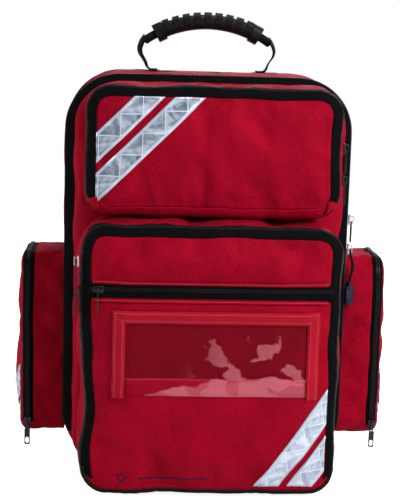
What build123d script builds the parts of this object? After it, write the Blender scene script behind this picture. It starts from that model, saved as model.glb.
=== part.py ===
from build123d import *
from collections import namedtuple
from math import cos, radians, sin
import os

# Trauma backpack, standing on its base. X is to the right seen from the front, Y to the wearer's
# back, Z up. The origin is the middle of the base. Millimetres.

Pocket = namedtuple("Pocket", "width base height radius depth rim")

GAP = 0.3            # clearance between pieces that move past each other
WALL = 4.0           # padded laminate of the shell
PANEL = 3.5          # front panel of a pocket
POCKET_WALL = 3.0    # single laminate of a pocket's gusset
BACK_Y = 122.5       # outside of the back panel
SPLIT_Y = 7.5        # the main zip parts the lid from the back half here
LID_Y = -37.5        # outside of the lid's front panel
ZIP_END = 45.0       # the main zip stops this far above the base
TAPE_WIDTH = 6.5     # what shows of each half of a zip
TAPE_THICK = 0.8
COIL_WIDTH = 3.0
COIL_HIGH = 2.4

SHELL = Pocket(width=352, base=0, height=494, radius=66, depth=160, rim=0)
LID = Pocket(width=328, base=0, height=486, radius=56, depth=45, rim=0)
UPPER = Pocket(width=298, base=334, height=152, radius=30, depth=60, rim=7)
LOWER = Pocket(width=304, base=5, height=322, radius=30, depth=85, rim=7)
SIDE = Pocket(width=100, base=35, height=242, radius=16, depth=56, rim=10)
SIDE_Y = 67          # middle of the side pockets, front to back

# Sliders: the size of the plate over the chain, and of the bridge that holds the pull
PLATE_LONG = 13.0
PLATE_WIDE = 9.0
PLATE_THICK = 1.8
BRIDGE_LONG = 9.6
BRIDGE_THICK = 2.2
BRIDGE_HIGH = 4.4
BRIDGE_BAR = 1.2
PIN_RADIUS = 0.9
PULL_LONG = 26.0
PULL_WIDE = 7.0
PULL_THICK = 1.6
HOLE_LONG = 8.0
HOLE_WIDE = 4.4
HOLE_FROM_END = 5.5
PIN_HIGH = COIL_HIGH + GAP + PLATE_THICK + 1.4
PIN_BACK = 2.4       # the pull's pin is this far along the bridge from its middle

# Where the sliders are parked: heights, or the distance from the middle for the front zip
MAIN_SLIDERS = (320, 283)
UPPER_SLIDERS = (418, 381)
LOWER_SLIDERS = (284, 247)
SIDE_SLIDER = 50
FRONT_SLIDER = -132
FRONT_ZIP_Z = 253
FRONT_ZIP_LONG = 286

HANDLE_Y = 98
GRIP_RADIUS = 140    # of the arch down the middle of the grip
GRIP_TOP = 560
GRIP_HALF_ANGLE = 28.5
LEG_X = 78
PIVOT_Z = SHELL.height + 5.0

os.makedirs("parts", exist_ok=True)


# Planes and outlines ------------------------------------------------------------------------

def facing_front(y):
    """The plane at depth y whose normal points out of the front of the pack."""
    return Plane.XZ.offset(-y)


def facing_side(side, x):
    """The plane at distance x from the middle whose normal points out of that side."""
    return Plane(origin=(side * x, SIDE_Y, 0), x_dir=(0, side, 0), z_dir=(side, 0, 0))


def outline(pocket, grow=0.0, mode=Mode.ADD):
    """A pocket's rounded outline, standing on its base."""
    with Locations((0, pocket.base + pocket.height / 2)):
        RectangleRounded(
            pocket.width + 2 * grow, pocket.height + 2 * grow, pocket.radius + grow, mode=mode
        )


def keep_between(low, high):
    """Cut the sketch down to the heights from low to high."""
    with Locations((0, (low + high) / 2)):
        Rectangle(2 * SHELL.width, high - low, mode=Mode.INTERSECT)


# Sub-parts that repeat ----------------------------------------------------------------------

def tube_wall(plane, pocket, wall, depth, fill_depth=0.0, fill_to=0.0):
    """A gusset: the outline's wall, with a deeper stretch below the height fill_to."""
    with BuildPart() as tube:
        with BuildSketch(plane):
            outline(pocket)
            outline(pocket, -wall, Mode.SUBTRACT)
        extrude(amount=depth)
        if fill_depth:
            with BuildSketch(plane.offset(depth)):
                outline(pocket)
                outline(pocket, -wall, Mode.SUBTRACT)
                keep_between(pocket.base - 1, fill_to)
            extrude(amount=fill_depth)
    return tube


def pocket_gusset(plane, pocket):
    """The fixed part of a pocket, up to the zip, and up to the flap below the zip's ends."""
    return tube_wall(
        plane,
        pocket,
        POCKET_WALL,
        pocket.depth - pocket.rim - GAP,
        pocket.rim - PANEL,
        pocket.base + pocket.radius - GAP,
    )


def flap_tray(plane, pocket):
    """A pocket's front panel with the rim that carries its half of the zip."""
    with BuildPart() as tray:
        with BuildSketch(plane.offset(pocket.depth - pocket.rim)):
            outline(pocket)
            outline(pocket, -POCKET_WALL, Mode.SUBTRACT)
            keep_between(pocket.base + pocket.radius, pocket.base + pocket.height + 1)
        extrude(amount=pocket.rim - PANEL)
        with BuildSketch(plane.offset(pocket.depth - PANEL)):
            outline(pocket)
        extrude(amount=PANEL)
    return tray


def zip_half(plane, pocket, low, toward):
    """Half of a coil zip round the top and both sides, from the split plane toward one side."""
    with BuildPart() as half:
        for high, width in ((TAPE_THICK, TAPE_WIDTH), (COIL_HIGH, COIL_WIDTH)):
            with BuildSketch(plane):
                outline(pocket, high)
                outline(pocket, 0, Mode.SUBTRACT)
                keep_between(low, pocket.base + pocket.height + 2 * high)
            extrude(amount=toward * width)
    return half


def chain_plane(point, outward, along):
    """A slider's own plane: on the wall, local Y along the chain, normal out of the wall."""
    across = Vector(*along).cross(Vector(*outward))
    return Plane(origin=point, x_dir=across, z_dir=outward)


def slider(plane):
    """A zip slider: a waisted plate over the coil and the bridge that the pull hangs on."""
    with BuildPart() as body:
        with BuildSketch(plane.offset(COIL_HIGH + GAP)):
            with BuildLine():
                Polyline(
                    (-PLATE_WIDE / 2 + 1.5, -PLATE_LONG / 2),
                    (PLATE_WIDE / 2 - 1.5, -PLATE_LONG / 2),
                    (PLATE_WIDE / 2 - 0.8, 0),
                    (PLATE_WIDE / 2, PLATE_LONG / 2),
                    (-PLATE_WIDE / 2, PLATE_LONG / 2),
                    (-PLATE_WIDE / 2 + 0.8, 0),
                    close=True,
                )
            make_face()
        extrude(amount=PLATE_THICK)
        fillet(body.edges().filter_by(Axis(plane.origin, plane.z_dir)), 0.7)
        arch = Plane(
            origin=plane.origin + plane.z_dir * (COIL_HIGH + GAP + PLATE_THICK),
            x_dir=plane.y_dir,
            z_dir=plane.x_dir,
        )
        with BuildSketch(arch.offset(-BRIDGE_THICK / 2)):
            with Locations((0, BRIDGE_HIGH / 2)):
                Rectangle(BRIDGE_LONG, BRIDGE_HIGH)
            with Locations((0, (BRIDGE_HIGH - BRIDGE_BAR) / 2)):
                Rectangle(BRIDGE_LONG - 2 * BRIDGE_BAR, BRIDGE_HIGH - BRIDGE_BAR, mode=Mode.SUBTRACT)
        extrude(amount=BRIDGE_THICK)
    return body


def flat_pull(plane):
    """A pull that lies along its chain: a pin through the bridge, two cheeks and a long tab."""
    cheek_low = BRIDGE_THICK / 2 + GAP
    cheek = 1.1
    root = 4.6
    with BuildPart() as pull:
        with BuildSketch(plane.offset(PIN_HIGH - PULL_THICK / 2)):
            for side in (-1, 1):
                with Locations((side * (cheek_low + cheek / 2), -PIN_BACK - root / 2)):
                    Rectangle(cheek, root + 2 * PIN_RADIUS)
            with Locations((0, -PIN_BACK - (root + PULL_LONG) / 2)):
                RectangleRounded(PULL_WIDE, PULL_LONG - root, 1.6)
            with Locations((0, -PIN_BACK - PULL_LONG + HOLE_FROM_END)):
                SlotOverall(HOLE_LONG, HOLE_WIDE, rotation=90, mode=Mode.SUBTRACT)
        extrude(amount=PULL_THICK)
        across = Plane(
            origin=plane.origin + plane.z_dir * PIN_HIGH - plane.y_dir * PIN_BACK,
            x_dir=plane.y_dir,
            z_dir=plane.x_dir,
        )
        with BuildSketch(across.offset(-cheek_low - cheek)):
            Circle(PIN_RADIUS)
        extrude(amount=2 * (cheek_low + cheek))
    return pull


def rod_along(points, radius, bends):
    """A round cord along straight runs joined by tangent arcs."""
    with BuildPart() as cord:
        with BuildLine() as path:
            FilletPolyline(*points, radius=bends)
        with BuildSketch(path.line ^ 0):
            Circle(radius)
        sweep(path=path.line)
    return cord


# Back half of the shell ---------------------------------------------------------------------

with BuildPart() as rear_gusset:
    with BuildSketch(facing_front(BACK_Y - WALL)):
        outline(SHELL)
        outline(SHELL, -WALL, Mode.SUBTRACT)
    extrude(amount=BACK_Y - WALL - SPLIT_Y - GAP / 2)
rear_gusset.part.label = "rear_gusset"
export_step(rear_gusset.part, "parts/rear_gusset.step")

with BuildPart() as back_panel:
    with BuildSketch(facing_front(BACK_Y)):
        outline(SHELL)
    extrude(amount=WALL)
back_panel.part.label = "back_panel"
export_step(back_panel.part, "parts/back_panel.step")

FRAME_SHEET_THICK = 2.0
with BuildPart() as frame_sheet:
    with BuildSketch(facing_front(BACK_Y - WALL)):
        outline(SHELL, -24)
    extrude(amount=FRAME_SHEET_THICK)
frame_sheet.part.label = "frame_sheet"
export_step(frame_sheet.part, "parts/frame_sheet.step")

PAD_THICK = 14.0
PAD_X = 78
PAD_WIDE = 104
PAD_HIGH = 232
PAD_Z = 320
LUMBAR_WIDE = 180
LUMBAR_HIGH = 116
LUMBAR_Z = 112
with BuildPart() as back_pads:
    with BuildSketch(facing_front(BACK_Y)):
        with Locations((-PAD_X, PAD_Z), (PAD_X, PAD_Z)):
            RectangleRounded(PAD_WIDE, PAD_HIGH, 24)
        with Locations((0, LUMBAR_Z)):
            RectangleRounded(LUMBAR_WIDE, LUMBAR_HIGH, 28)
    extrude(amount=-PAD_THICK)
    fillet(back_pads.faces().sort_by(Axis.Y)[-3:].edges(), 6)
back_pads.part.label = "back_pads"
export_step(back_pads.part, "parts/back_pads.step")

PIPING = 3.6
with BuildPart() as rear_piping:
    with BuildSketch(facing_front(BACK_Y - WALL)):
        outline(SHELL, PIPING)
        outline(SHELL, 0, Mode.SUBTRACT)
        keep_between(0, SHELL.height + 2 * PIPING)
    extrude(amount=-WALL)
rear_piping.part.label = "rear_piping"
export_step(rear_piping.part, "parts/rear_piping.step")

main_zip_rear = zip_half(facing_front(SPLIT_Y + GAP / 2), SHELL, ZIP_END, -1)
main_zip_rear.part.label = "main_zip_rear"
export_step(main_zip_rear.part, "parts/main_zip_rear.step")

# A wide pouch below and two narrow ones above it, with their backs on the stiffener
POUCH_BACK = BACK_Y - WALL - FRAME_SHEET_THICK
POUCH_DEEP = 72
LOW_POUCH_WIDE = 300
LOW_POUCH_HIGH = 190
LOW_POUCH_Z = 118
HIGH_POUCH_WIDE = 144
HIGH_POUCH_HIGH = 226
HIGH_POUCH_X = 78
HIGH_POUCH_Z = 342
with BuildPart() as inner_pouches:
    with BuildSketch(facing_front(POUCH_BACK)):
        with Locations((0, LOW_POUCH_Z)):
            RectangleRounded(LOW_POUCH_WIDE, LOW_POUCH_HIGH, 16)
        with Locations((-HIGH_POUCH_X, HIGH_POUCH_Z), (HIGH_POUCH_X, HIGH_POUCH_Z)):
            RectangleRounded(HIGH_POUCH_WIDE, HIGH_POUCH_HIGH, 16)
    extrude(amount=POUCH_DEEP)
inner_pouches.part.label = "inner_pouches"
export_step(inner_pouches.part, "parts/inner_pouches.step")


# Shoulder straps ----------------------------------------------------------------------------

STRAP_THICK = 12.0
STRAP_WIDE = 66
STRAP_TOP_X = 58
STRAP_LEAN = 7        # degrees that each strap spreads on its way down
WEBBING_WIDE = 25
STRAP_LINE = [(BACK_Y + 2, 448), (152, 456), (188, 428), (200, 340), (182, 236)]
LOWER_LINE = [(181.0, 212), (164, 120), (130, 44), (BACK_Y + 1.6, 36)]


def strap_plane(side):
    """The plane down the middle of a shoulder strap: local X to the rear, local Y up along it."""
    lean = radians(STRAP_LEAN)
    return Plane(
        origin=(side * (STRAP_TOP_X + 450 * sin(lean)), 0, 0),
        x_dir=(0, 1, 0),
        z_dir=(cos(lean), 0, side * sin(lean)),
    )


def strap_solids(line, bend, thick, wide):
    """Both straps along one side view line: a strip of one thickness, extruded to its width."""
    with BuildPart() as both:
        for side in (-1, 1):
            with BuildSketch(strap_plane(side).offset(-wide / 2)):
                with BuildLine() as path:
                    FilletPolyline(*line, radius=bend)
                trace(path.line, line_width=thick)
            extrude(amount=wide)
    return both


shoulder_straps = strap_solids(STRAP_LINE, 14, STRAP_THICK, STRAP_WIDE)
shoulder_straps.part.label = "shoulder_straps"
export_step(shoulder_straps.part, "parts/shoulder_straps.step")

strap_webbing = strap_solids(LOWER_LINE, 6, 2.4, WEBBING_WIDE)
strap_webbing.part.label = "strap_webbing"
export_step(strap_webbing.part, "parts/strap_webbing.step")

LOCK_LONG = 22
LOCK_WIDE = 36
LOCK_THICK = 7
LOCK_WALL = 2.2
LOCK_AT = (181.5, 224)   # in the strap's plane: Y and Z
with BuildPart() as ladder_locks:
    for lock_side in (-1, 1):
        with BuildSketch(strap_plane(lock_side).offset(-LOCK_WIDE / 2)):
            with Locations(LOCK_AT):
                RectangleRounded(LOCK_THICK, LOCK_LONG, 2)
            with Locations(LOCK_AT):
                RectangleRounded(LOCK_THICK - 2 * LOCK_WALL, LOCK_LONG - 8, 1, mode=Mode.SUBTRACT)
        extrude(amount=LOCK_WIDE)
ladder_locks.part.label = "ladder_locks"
export_step(ladder_locks.part, "parts/ladder_locks.step")


# Lid ----------------------------------------------------------------------------------------

# The lid is smaller than the back half. A flange all round reaches out to the main zip.
LID_BACK = SPLIT_Y - GAP / 2
with BuildPart() as lid_gusset:
    with BuildSketch(facing_front(LID_BACK)):
        outline(LID)
        outline(LID, -WALL, Mode.SUBTRACT)
    extrude(amount=LID_BACK - LID_Y - WALL)
    with BuildSketch(facing_front(LID_BACK)):
        outline(SHELL)
        outline(LID, -WALL / 2, Mode.SUBTRACT)
    extrude(amount=WALL)
lid_gusset.part.label = "lid_gusset"
export_step(lid_gusset.part, "parts/lid_gusset.step")

with BuildPart() as lid_panel:
    with BuildSketch(facing_front(LID_Y + WALL)):
        outline(LID)
    extrude(amount=WALL)
lid_panel.part.label = "lid_panel"
export_step(lid_panel.part, "parts/lid_panel.step")

with BuildPart() as main_zip_lid:
    with BuildSketch(facing_front(LID_BACK - WALL)):
        outline(SHELL)
        outline(LID, 0, Mode.SUBTRACT)
        keep_between(ZIP_END, SHELL.height)
    extrude(amount=TAPE_THICK)
    with BuildSketch(facing_front(LID_BACK)):
        outline(SHELL, COIL_HIGH)
        outline(SHELL, 0, Mode.SUBTRACT)
        keep_between(ZIP_END, SHELL.height + 2 * COIL_HIGH)
    extrude(amount=COIL_WIDTH)
main_zip_lid.part.label = "main_zip_lid"
export_step(main_zip_lid.part, "parts/main_zip_lid.step")

MESH_POCKET_DEEP = 9
MESH_POCKET_WIDE = 280
MESH_POCKET_HIGH = 340
MESH_POCKET_Z = 220
with BuildPart() as lid_mesh_pocket:
    with BuildSketch(facing_front(LID_Y + WALL + MESH_POCKET_DEEP)):
        with Locations((0, MESH_POCKET_Z)):
            RectangleRounded(MESH_POCKET_WIDE, MESH_POCKET_HIGH, 20)
    extrude(amount=MESH_POCKET_DEEP)
lid_mesh_pocket.part.label = "lid_mesh_pocket"
export_step(lid_mesh_pocket.part, "parts/lid_mesh_pocket.step")


# Pockets on the lid -------------------------------------------------------------------------

def split_plane(plane, pocket):
    """Where a pocket's flap parts from its gusset."""
    return plane.offset(pocket.depth - pocket.rim)


FRONT = facing_front(LID_Y)

upper_pocket_gusset = pocket_gusset(FRONT, UPPER)
upper_pocket_gusset.part.label = "upper_pocket_gusset"
export_step(upper_pocket_gusset.part, "parts/upper_pocket_gusset.step")

upper_zip_fixed = zip_half(split_plane(FRONT, UPPER).offset(-GAP), UPPER, UPPER.base + UPPER.radius, -1)
upper_zip_fixed.part.label = "upper_zip_fixed"
export_step(upper_zip_fixed.part, "parts/upper_zip_fixed.step")

upper_flap = flap_tray(FRONT, UPPER)
upper_flap.part.label = "upper_flap"
export_step(upper_flap.part, "parts/upper_flap.step")

upper_zip_flap = zip_half(split_plane(FRONT, UPPER), UPPER, UPPER.base + UPPER.radius, 1)
upper_zip_flap.part.label = "upper_zip_flap"
export_step(upper_zip_flap.part, "parts/upper_zip_flap.step")

lower_pocket_gusset = pocket_gusset(FRONT, LOWER)
lower_pocket_gusset.part.label = "lower_pocket_gusset"
export_step(lower_pocket_gusset.part, "parts/lower_pocket_gusset.step")

lower_zip_fixed = zip_half(split_plane(FRONT, LOWER).offset(-GAP), LOWER, LOWER.base + LOWER.radius, -1)
lower_zip_fixed.part.label = "lower_zip_fixed"
export_step(lower_zip_fixed.part, "parts/lower_zip_fixed.step")

lower_flap = flap_tray(FRONT, LOWER)
lower_flap.part.label = "lower_flap"
export_step(lower_flap.part, "parts/lower_flap.step")

lower_zip_flap = zip_half(split_plane(FRONT, LOWER), LOWER, LOWER.base + LOWER.radius, 1)
lower_zip_flap.part.label = "lower_zip_flap"
export_step(lower_zip_flap.part, "parts/lower_zip_flap.step")

# Reflective tapes cross a flap's corner. Each lies so far from the corner of the flap's box.
REFLECTIVE_WIDE = 25.0
REFLECTIVE_THICK = 0.6


def corner_tapes(plane, pocket, corner, slope, distances, inset):
    """Tapes across one corner of a flap: corner is its signs, slope the tapes' angle."""
    x_corner = corner[0] * pocket.width / 2
    z_corner = pocket.base + pocket.height / 2 + corner[1] * pocket.height / 2
    across = radians(slope)
    with BuildPart() as tapes:
        with BuildSketch(plane.offset(pocket.depth)):
            for distance in distances:
                x_tape = x_corner - corner[0] * distance * sin(across)
                z_tape = z_corner - corner[1] * distance * cos(across)
                with Locations(Location((x_tape, z_tape, 0), (0, 0, -corner[0] * corner[1] * slope))):
                    Rectangle(2 * pocket.width, REFLECTIVE_WIDE)
            outline(pocket, -inset, Mode.INTERSECT)
        extrude(amount=REFLECTIVE_THICK)
    return tapes


upper_reflective = corner_tapes(FRONT, UPPER, (-1, 1), 45, (60, 93), 3)
upper_reflective.part.label = "upper_reflective"
export_step(upper_reflective.part, "parts/upper_reflective.step")

lower_reflective = corner_tapes(FRONT, LOWER, (1, -1), 55, (40, 73), 3)
lower_reflective.part.label = "lower_reflective"
export_step(lower_reflective.part, "parts/lower_reflective.step")

FACE = FRONT.offset(LOWER.depth)
with BuildPart() as front_zip:
    for chain_thick, chain_wide in ((TAPE_THICK, 2 * TAPE_WIDTH - 2), (COIL_HIGH, 2 * COIL_WIDTH)):
        with BuildSketch(FACE):
            with Locations((0, FRONT_ZIP_Z)):
                Rectangle(FRONT_ZIP_LONG, chain_wide)
        extrude(amount=chain_thick)
front_zip.part.label = "front_zip"
export_step(front_zip.part, "parts/front_zip.step")

LINER_DEEP = 5
LINER_WIDE = 280
LINER_HIGH = 184
with BuildPart() as front_pocket_liner:
    with BuildSketch(FACE.offset(-PANEL)):
        with Locations((0, FRONT_ZIP_Z - LINER_HIGH / 2)):
            RectangleRounded(LINER_WIDE, LINER_HIGH, 8)
    extrude(amount=-LINER_DEEP)
front_pocket_liner.part.label = "front_pocket_liner"
export_step(front_pocket_liner.part, "parts/front_pocket_liner.step")

WINDOW_WIDE = 240
WINDOW_HIGH = 104
WINDOW_X = 6
WINDOW_Z = 177
FRAME_BAND = 14
VINYL_THICK = 0.6
FRAME_THICK = 1.4
with BuildPart() as id_window:
    with BuildSketch(FACE):
        with Locations((WINDOW_X, WINDOW_Z)):
            Rectangle(WINDOW_WIDE - 6, WINDOW_HIGH - 6)
    extrude(amount=VINYL_THICK)
id_window.part.label = "id_window"
export_step(id_window.part, "parts/id_window.step")

with BuildPart() as id_frame:
    with BuildSketch(FACE.offset(VINYL_THICK)):
        with Locations((WINDOW_X, WINDOW_Z)):
            Rectangle(WINDOW_WIDE, WINDOW_HIGH)
        with Locations((WINDOW_X, WINDOW_Z - FRAME_BAND / 2)):
            Rectangle(WINDOW_WIDE - 2 * FRAME_BAND, WINDOW_HIGH - FRAME_BAND, mode=Mode.SUBTRACT)
    extrude(amount=FRAME_THICK)
id_frame.part.label = "id_frame"
export_step(id_frame.part, "parts/id_frame.step")


# Side pockets -------------------------------------------------------------------------------

SIDE_X = SHELL.width / 2

with BuildPart() as side_pocket_gussets:
    for gusset_side in (-1, 1):
        add(pocket_gusset(facing_side(gusset_side, SIDE_X), SIDE).part)
side_pocket_gussets.part.label = "side_pocket_gussets"
export_step(side_pocket_gussets.part, "parts/side_pocket_gussets.step")

with BuildPart() as side_zip_fixed:
    for fixed_side in (-1, 1):
        fixed_plane = split_plane(facing_side(fixed_side, SIDE_X), SIDE).offset(-GAP)
        add(zip_half(fixed_plane, SIDE, SIDE.base + SIDE.radius, -1).part)
side_zip_fixed.part.label = "side_zip_fixed"
export_step(side_zip_fixed.part, "parts/side_zip_fixed.step")

for side_name, side_sign in (("left", -1), ("right", 1)):
    side_plane = facing_side(side_sign, SIDE_X)
    side_flap = flap_tray(side_plane, SIDE)
    side_flap.part.label = f"side_flap_{side_name}"
    export_step(side_flap.part, f"parts/side_flap_{side_name}.step")

    side_zip = zip_half(split_plane(side_plane, SIDE), SIDE, SIDE.base + SIDE.radius, 1)
    side_zip.part.label = f"side_zip_{side_name}"
    export_step(side_zip.part, f"parts/side_zip_{side_name}.step")

    side_tapes = corner_tapes(side_plane, SIDE, (-side_sign, -1), 45, (24, 57), 3)
    side_tapes.part.label = f"side_reflective_{side_name}"
    export_step(side_tapes.part, f"parts/side_reflective_{side_name}.step")


# Sliders and pulls --------------------------------------------------------------------------

RIGHT = (1, 0, 0)
LEFT = (-1, 0, 0)
AHEAD = (0, -1, 0)
UP = (0, 0, 1)
UPPER_SPLIT = LID_Y - UPPER.depth + UPPER.rim
LOWER_SPLIT = LID_Y - LOWER.depth + LOWER.rim
SIDE_SPLIT = SIDE_X + SIDE.depth - SIDE.rim
SIDE_FRONT = SIDE_Y - SIDE.width / 2

CHAINS = {
    "upper_1": chain_plane((UPPER.width / 2, UPPER_SPLIT, UPPER_SLIDERS[0]), RIGHT, UP),
    "upper_2": chain_plane((UPPER.width / 2, UPPER_SPLIT, UPPER_SLIDERS[1]), RIGHT, UP),
    "lower_1": chain_plane((-LOWER.width / 2, LOWER_SPLIT, LOWER_SLIDERS[0]), LEFT, UP),
    "lower_2": chain_plane((-LOWER.width / 2, LOWER_SPLIT, LOWER_SLIDERS[1]), LEFT, UP),
    "main_1": chain_plane((SIDE_X, SPLIT_Y, MAIN_SLIDERS[0]), RIGHT, UP),
    "side_left": chain_plane((-SIDE_SPLIT, SIDE_FRONT, SIDE_SLIDER), AHEAD, UP),
    "side_right": chain_plane((SIDE_SPLIT, SIDE_FRONT, SIDE_SLIDER), AHEAD, UP),
}
for chain_name, chain in CHAINS.items():
    zip_slider = slider(chain)
    zip_slider.part.label = f"slider_{chain_name}"
    export_step(zip_slider.part, f"parts/slider_{chain_name}.step")

    zip_pull = flat_pull(chain)
    zip_pull.part.label = f"pull_{chain_name}"
    export_step(zip_pull.part, f"parts/pull_{chain_name}.step")

# The front pocket's pull hangs edge on from the bar of its slider's bridge
FRONT_CHAIN = chain_plane((FRONT_SLIDER, LID_Y - LOWER.depth, FRONT_ZIP_Z), AHEAD, (1, 0, 0))
slider_front = slider(FRONT_CHAIN)
slider_front.part.label = "slider_front"
export_step(slider_front.part, "parts/slider_front.step")

BAR_HIGH = COIL_HIGH + GAP + PLATE_THICK + BRIDGE_HIGH - BRIDGE_BAR / 2
EYE_HOLE = 1.7
EYE_RING = 2.7
BAR_Y = LID_Y - LOWER.depth - BAR_HIGH
with BuildPart() as pull_front:
    with BuildSketch(Plane.YZ.offset(FRONT_SLIDER - PULL_THICK / 2)):
        with Locations((BAR_Y, FRONT_ZIP_Z)):
            Circle(EYE_RING)
        with Locations((BAR_Y, FRONT_ZIP_Z - 14)):
            RectangleRounded(5.4, 25, 2)
        with Locations((BAR_Y, FRONT_ZIP_Z)):
            Circle(EYE_HOLE, mode=Mode.SUBTRACT)
        with Locations((BAR_Y, FRONT_ZIP_Z - 22)):
            SlotOverall(7, 2, rotation=90, mode=Mode.SUBTRACT)
    extrude(amount=PULL_THICK)
pull_front.part.label = "pull_front"
export_step(pull_front.part, "parts/pull_front.step")

# The lower main slider carries a cord loop with a moulded tag
CORD_RADIUS = 1.1
MAIN_CHAIN = chain_plane((SIDE_X, SPLIT_Y, MAIN_SLIDERS[1]), RIGHT, UP)
slider_main_2 = slider(MAIN_CHAIN)
slider_main_2.part.label = "slider_main_2"
export_step(slider_main_2.part, "parts/slider_main_2.step")

CORD_X = SIDE_X + PIN_HIGH
CORD_Z = MAIN_SLIDERS[1] - 1.0
CORD_BENDS = [2.2, 2.2, 9, 8, 3, 3, 8, 9, 2.2, 2.2]
CORD_POINTS = [
    (CORD_X, SPLIT_Y + 0.4, CORD_Z),
    (CORD_X, SPLIT_Y + 4.6, CORD_Z),
    (CORD_X + 0.6, SPLIT_Y + 5.0, CORD_Z - 7),
    (CORD_X + 6, SPLIT_Y + 6.0, CORD_Z - 20),
    (CORD_X + 1.5, SPLIT_Y + 3.0, CORD_Z - 37),
    (CORD_X + 1.5, SPLIT_Y + 2.6, CORD_Z - 50),
    (CORD_X + 1.5, SPLIT_Y - 2.6, CORD_Z - 50),
    (CORD_X + 1.5, SPLIT_Y - 3.0, CORD_Z - 37),
    (CORD_X + 6, SPLIT_Y - 6.0, CORD_Z - 20),
    (CORD_X + 0.6, SPLIT_Y - 5.0, CORD_Z - 7),
    (CORD_X, SPLIT_Y - 4.6, CORD_Z),
    (CORD_X, SPLIT_Y - 0.4, CORD_Z),
]
print(f"cord radius {CORD_RADIUS}, bend radii {CORD_BENDS}")
main_pull_cord = rod_along(CORD_POINTS, CORD_RADIUS, CORD_BENDS)
main_pull_cord.part.label = "main_pull_cord"
export_step(main_pull_cord.part, "parts/main_pull_cord.step")

TAG_LONG = 29
TAG_WIDE = 13
TAG_THICK = 5
with BuildPart() as main_pull_tag:
    with BuildSketch(Plane.YZ.offset(CORD_X + 1.5 - TAG_THICK / 2)):
        with Locations((SPLIT_Y, CORD_Z - 42 - TAG_LONG / 2)):
            RectangleRounded(TAG_WIDE, TAG_LONG, 3)
    extrude(amount=TAG_THICK)
    fillet(main_pull_tag.faces().filter_by(Axis.X).edges(), 1.2)
main_pull_tag.part.label = "main_pull_tag"
export_step(main_pull_tag.part, "parts/main_pull_tag.step")


# Handle -------------------------------------------------------------------------------------

ARCH = Vector(0, HANDLE_Y, GRIP_TOP - GRIP_RADIUS)
ARCH_AXIS = Axis(ARCH, (0, 1, 0))


def arch_plane(angle):
    """Across the handle's arch at an angle from its top: local X along +Y, local Y outward."""
    turn = radians(angle)
    return Plane(
        origin=ARCH + Vector(sin(turn), 0, cos(turn)) * GRIP_RADIUS,
        x_dir=(0, 1, 0),
        z_dir=(cos(turn), 0, -sin(turn)),
    )


GRIP_WIDE = 24.0
GRIP_HIGH = 19.0
CUFF_ANGLE = 5.0
RIB_COUNT = 9
RIB_TURN = 3.2
RIB_PITCH = 5.4
RIB_RISE = 3.0
with BuildPart() as handle_grip:
    with BuildSketch(arch_plane(-GRIP_HALF_ANGLE)):
        RectangleRounded(GRIP_WIDE, GRIP_HIGH, 8)
    revolve(axis=ARCH_AXIS, revolution_arc=2 * GRIP_HALF_ANGLE)
    for cuff_start in (-GRIP_HALF_ANGLE, GRIP_HALF_ANGLE - CUFF_ANGLE):
        with BuildSketch(arch_plane(cuff_start)):
            RectangleRounded(GRIP_WIDE + 3, GRIP_HIGH + 5, 10)
        revolve(axis=ARCH_AXIS, revolution_arc=CUFF_ANGLE)
    for rib in range(RIB_COUNT):
        rib_start = (rib - (RIB_COUNT - 1) / 2) * RIB_PITCH - RIB_TURN / 2
        with BuildSketch(arch_plane(rib_start)):
            with Locations((0, RIB_RISE)):
                RectangleRounded(GRIP_WIDE + 2, GRIP_HIGH, 7)
        revolve(axis=ARCH_AXIS, revolution_arc=RIB_TURN)
handle_grip.part.label = "handle_grip"
export_step(handle_grip.part, "parts/handle_grip.step")

CORE_TURN = 7.0
CORE_WIDE = 22.0
CORE_HIGH = 11.0
with BuildPart() as handle_core:
    for core_start in (-GRIP_HALF_ANGLE - CORE_TURN, GRIP_HALF_ANGLE):
        with BuildSketch(arch_plane(core_start)):
            RectangleRounded(CORE_WIDE, CORE_HIGH, 4)
        revolve(axis=ARCH_AXIS, revolution_arc=CORE_TURN)
handle_core.part.label = "handle_core"
export_step(handle_core.part, "parts/handle_core.step")

# Each leg is a webbing strip that narrows to its sewn end
LEG_THICK = 3.0
LEG_WIDE = 30.0
LEG_END_WIDE = 3.0
LEG_CLEAR = 0.6
LEG_TOP = ARCH.Z + GRIP_RADIUS * cos(radians(GRIP_HALF_ANGLE + CORE_TURN)) - 6
LEG_TOP_X = GRIP_RADIUS * sin(radians(GRIP_HALF_ANGLE + CORE_TURN)) + 4
with BuildPart() as handle_legs:
    with BuildSketch(Plane.YZ.offset(-LEG_X - 20)):
        with BuildLine():
            Polyline(
                (HANDLE_Y - LEG_END_WIDE / 2, PIVOT_Z + LEG_CLEAR),
                (HANDLE_Y + LEG_END_WIDE / 2, PIVOT_Z + LEG_CLEAR),
                (HANDLE_Y + LEG_WIDE / 2, LEG_TOP),
                (HANDLE_Y - LEG_WIDE / 2, LEG_TOP),
                close=True,
            )
        make_face()
    extrude(amount=2 * LEG_X + 40)
    with BuildSketch(facing_front(HANDLE_Y + 20)):
        for leg_side in (-1, 1):
            with BuildLine():
                Polyline(
                    (leg_side * (LEG_X - LEG_THICK), PIVOT_Z),
                    (leg_side * LEG_X, PIVOT_Z),
                    (leg_side * (LEG_TOP_X + LEG_THICK), LEG_TOP),
                    (leg_side * LEG_TOP_X, LEG_TOP),
                    close=True,
                )
            make_face()
    extrude(amount=40, mode=Mode.INTERSECT)
handle_legs.part.label = "handle_legs"
export_step(handle_legs.part, "parts/handle_legs.step")

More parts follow.
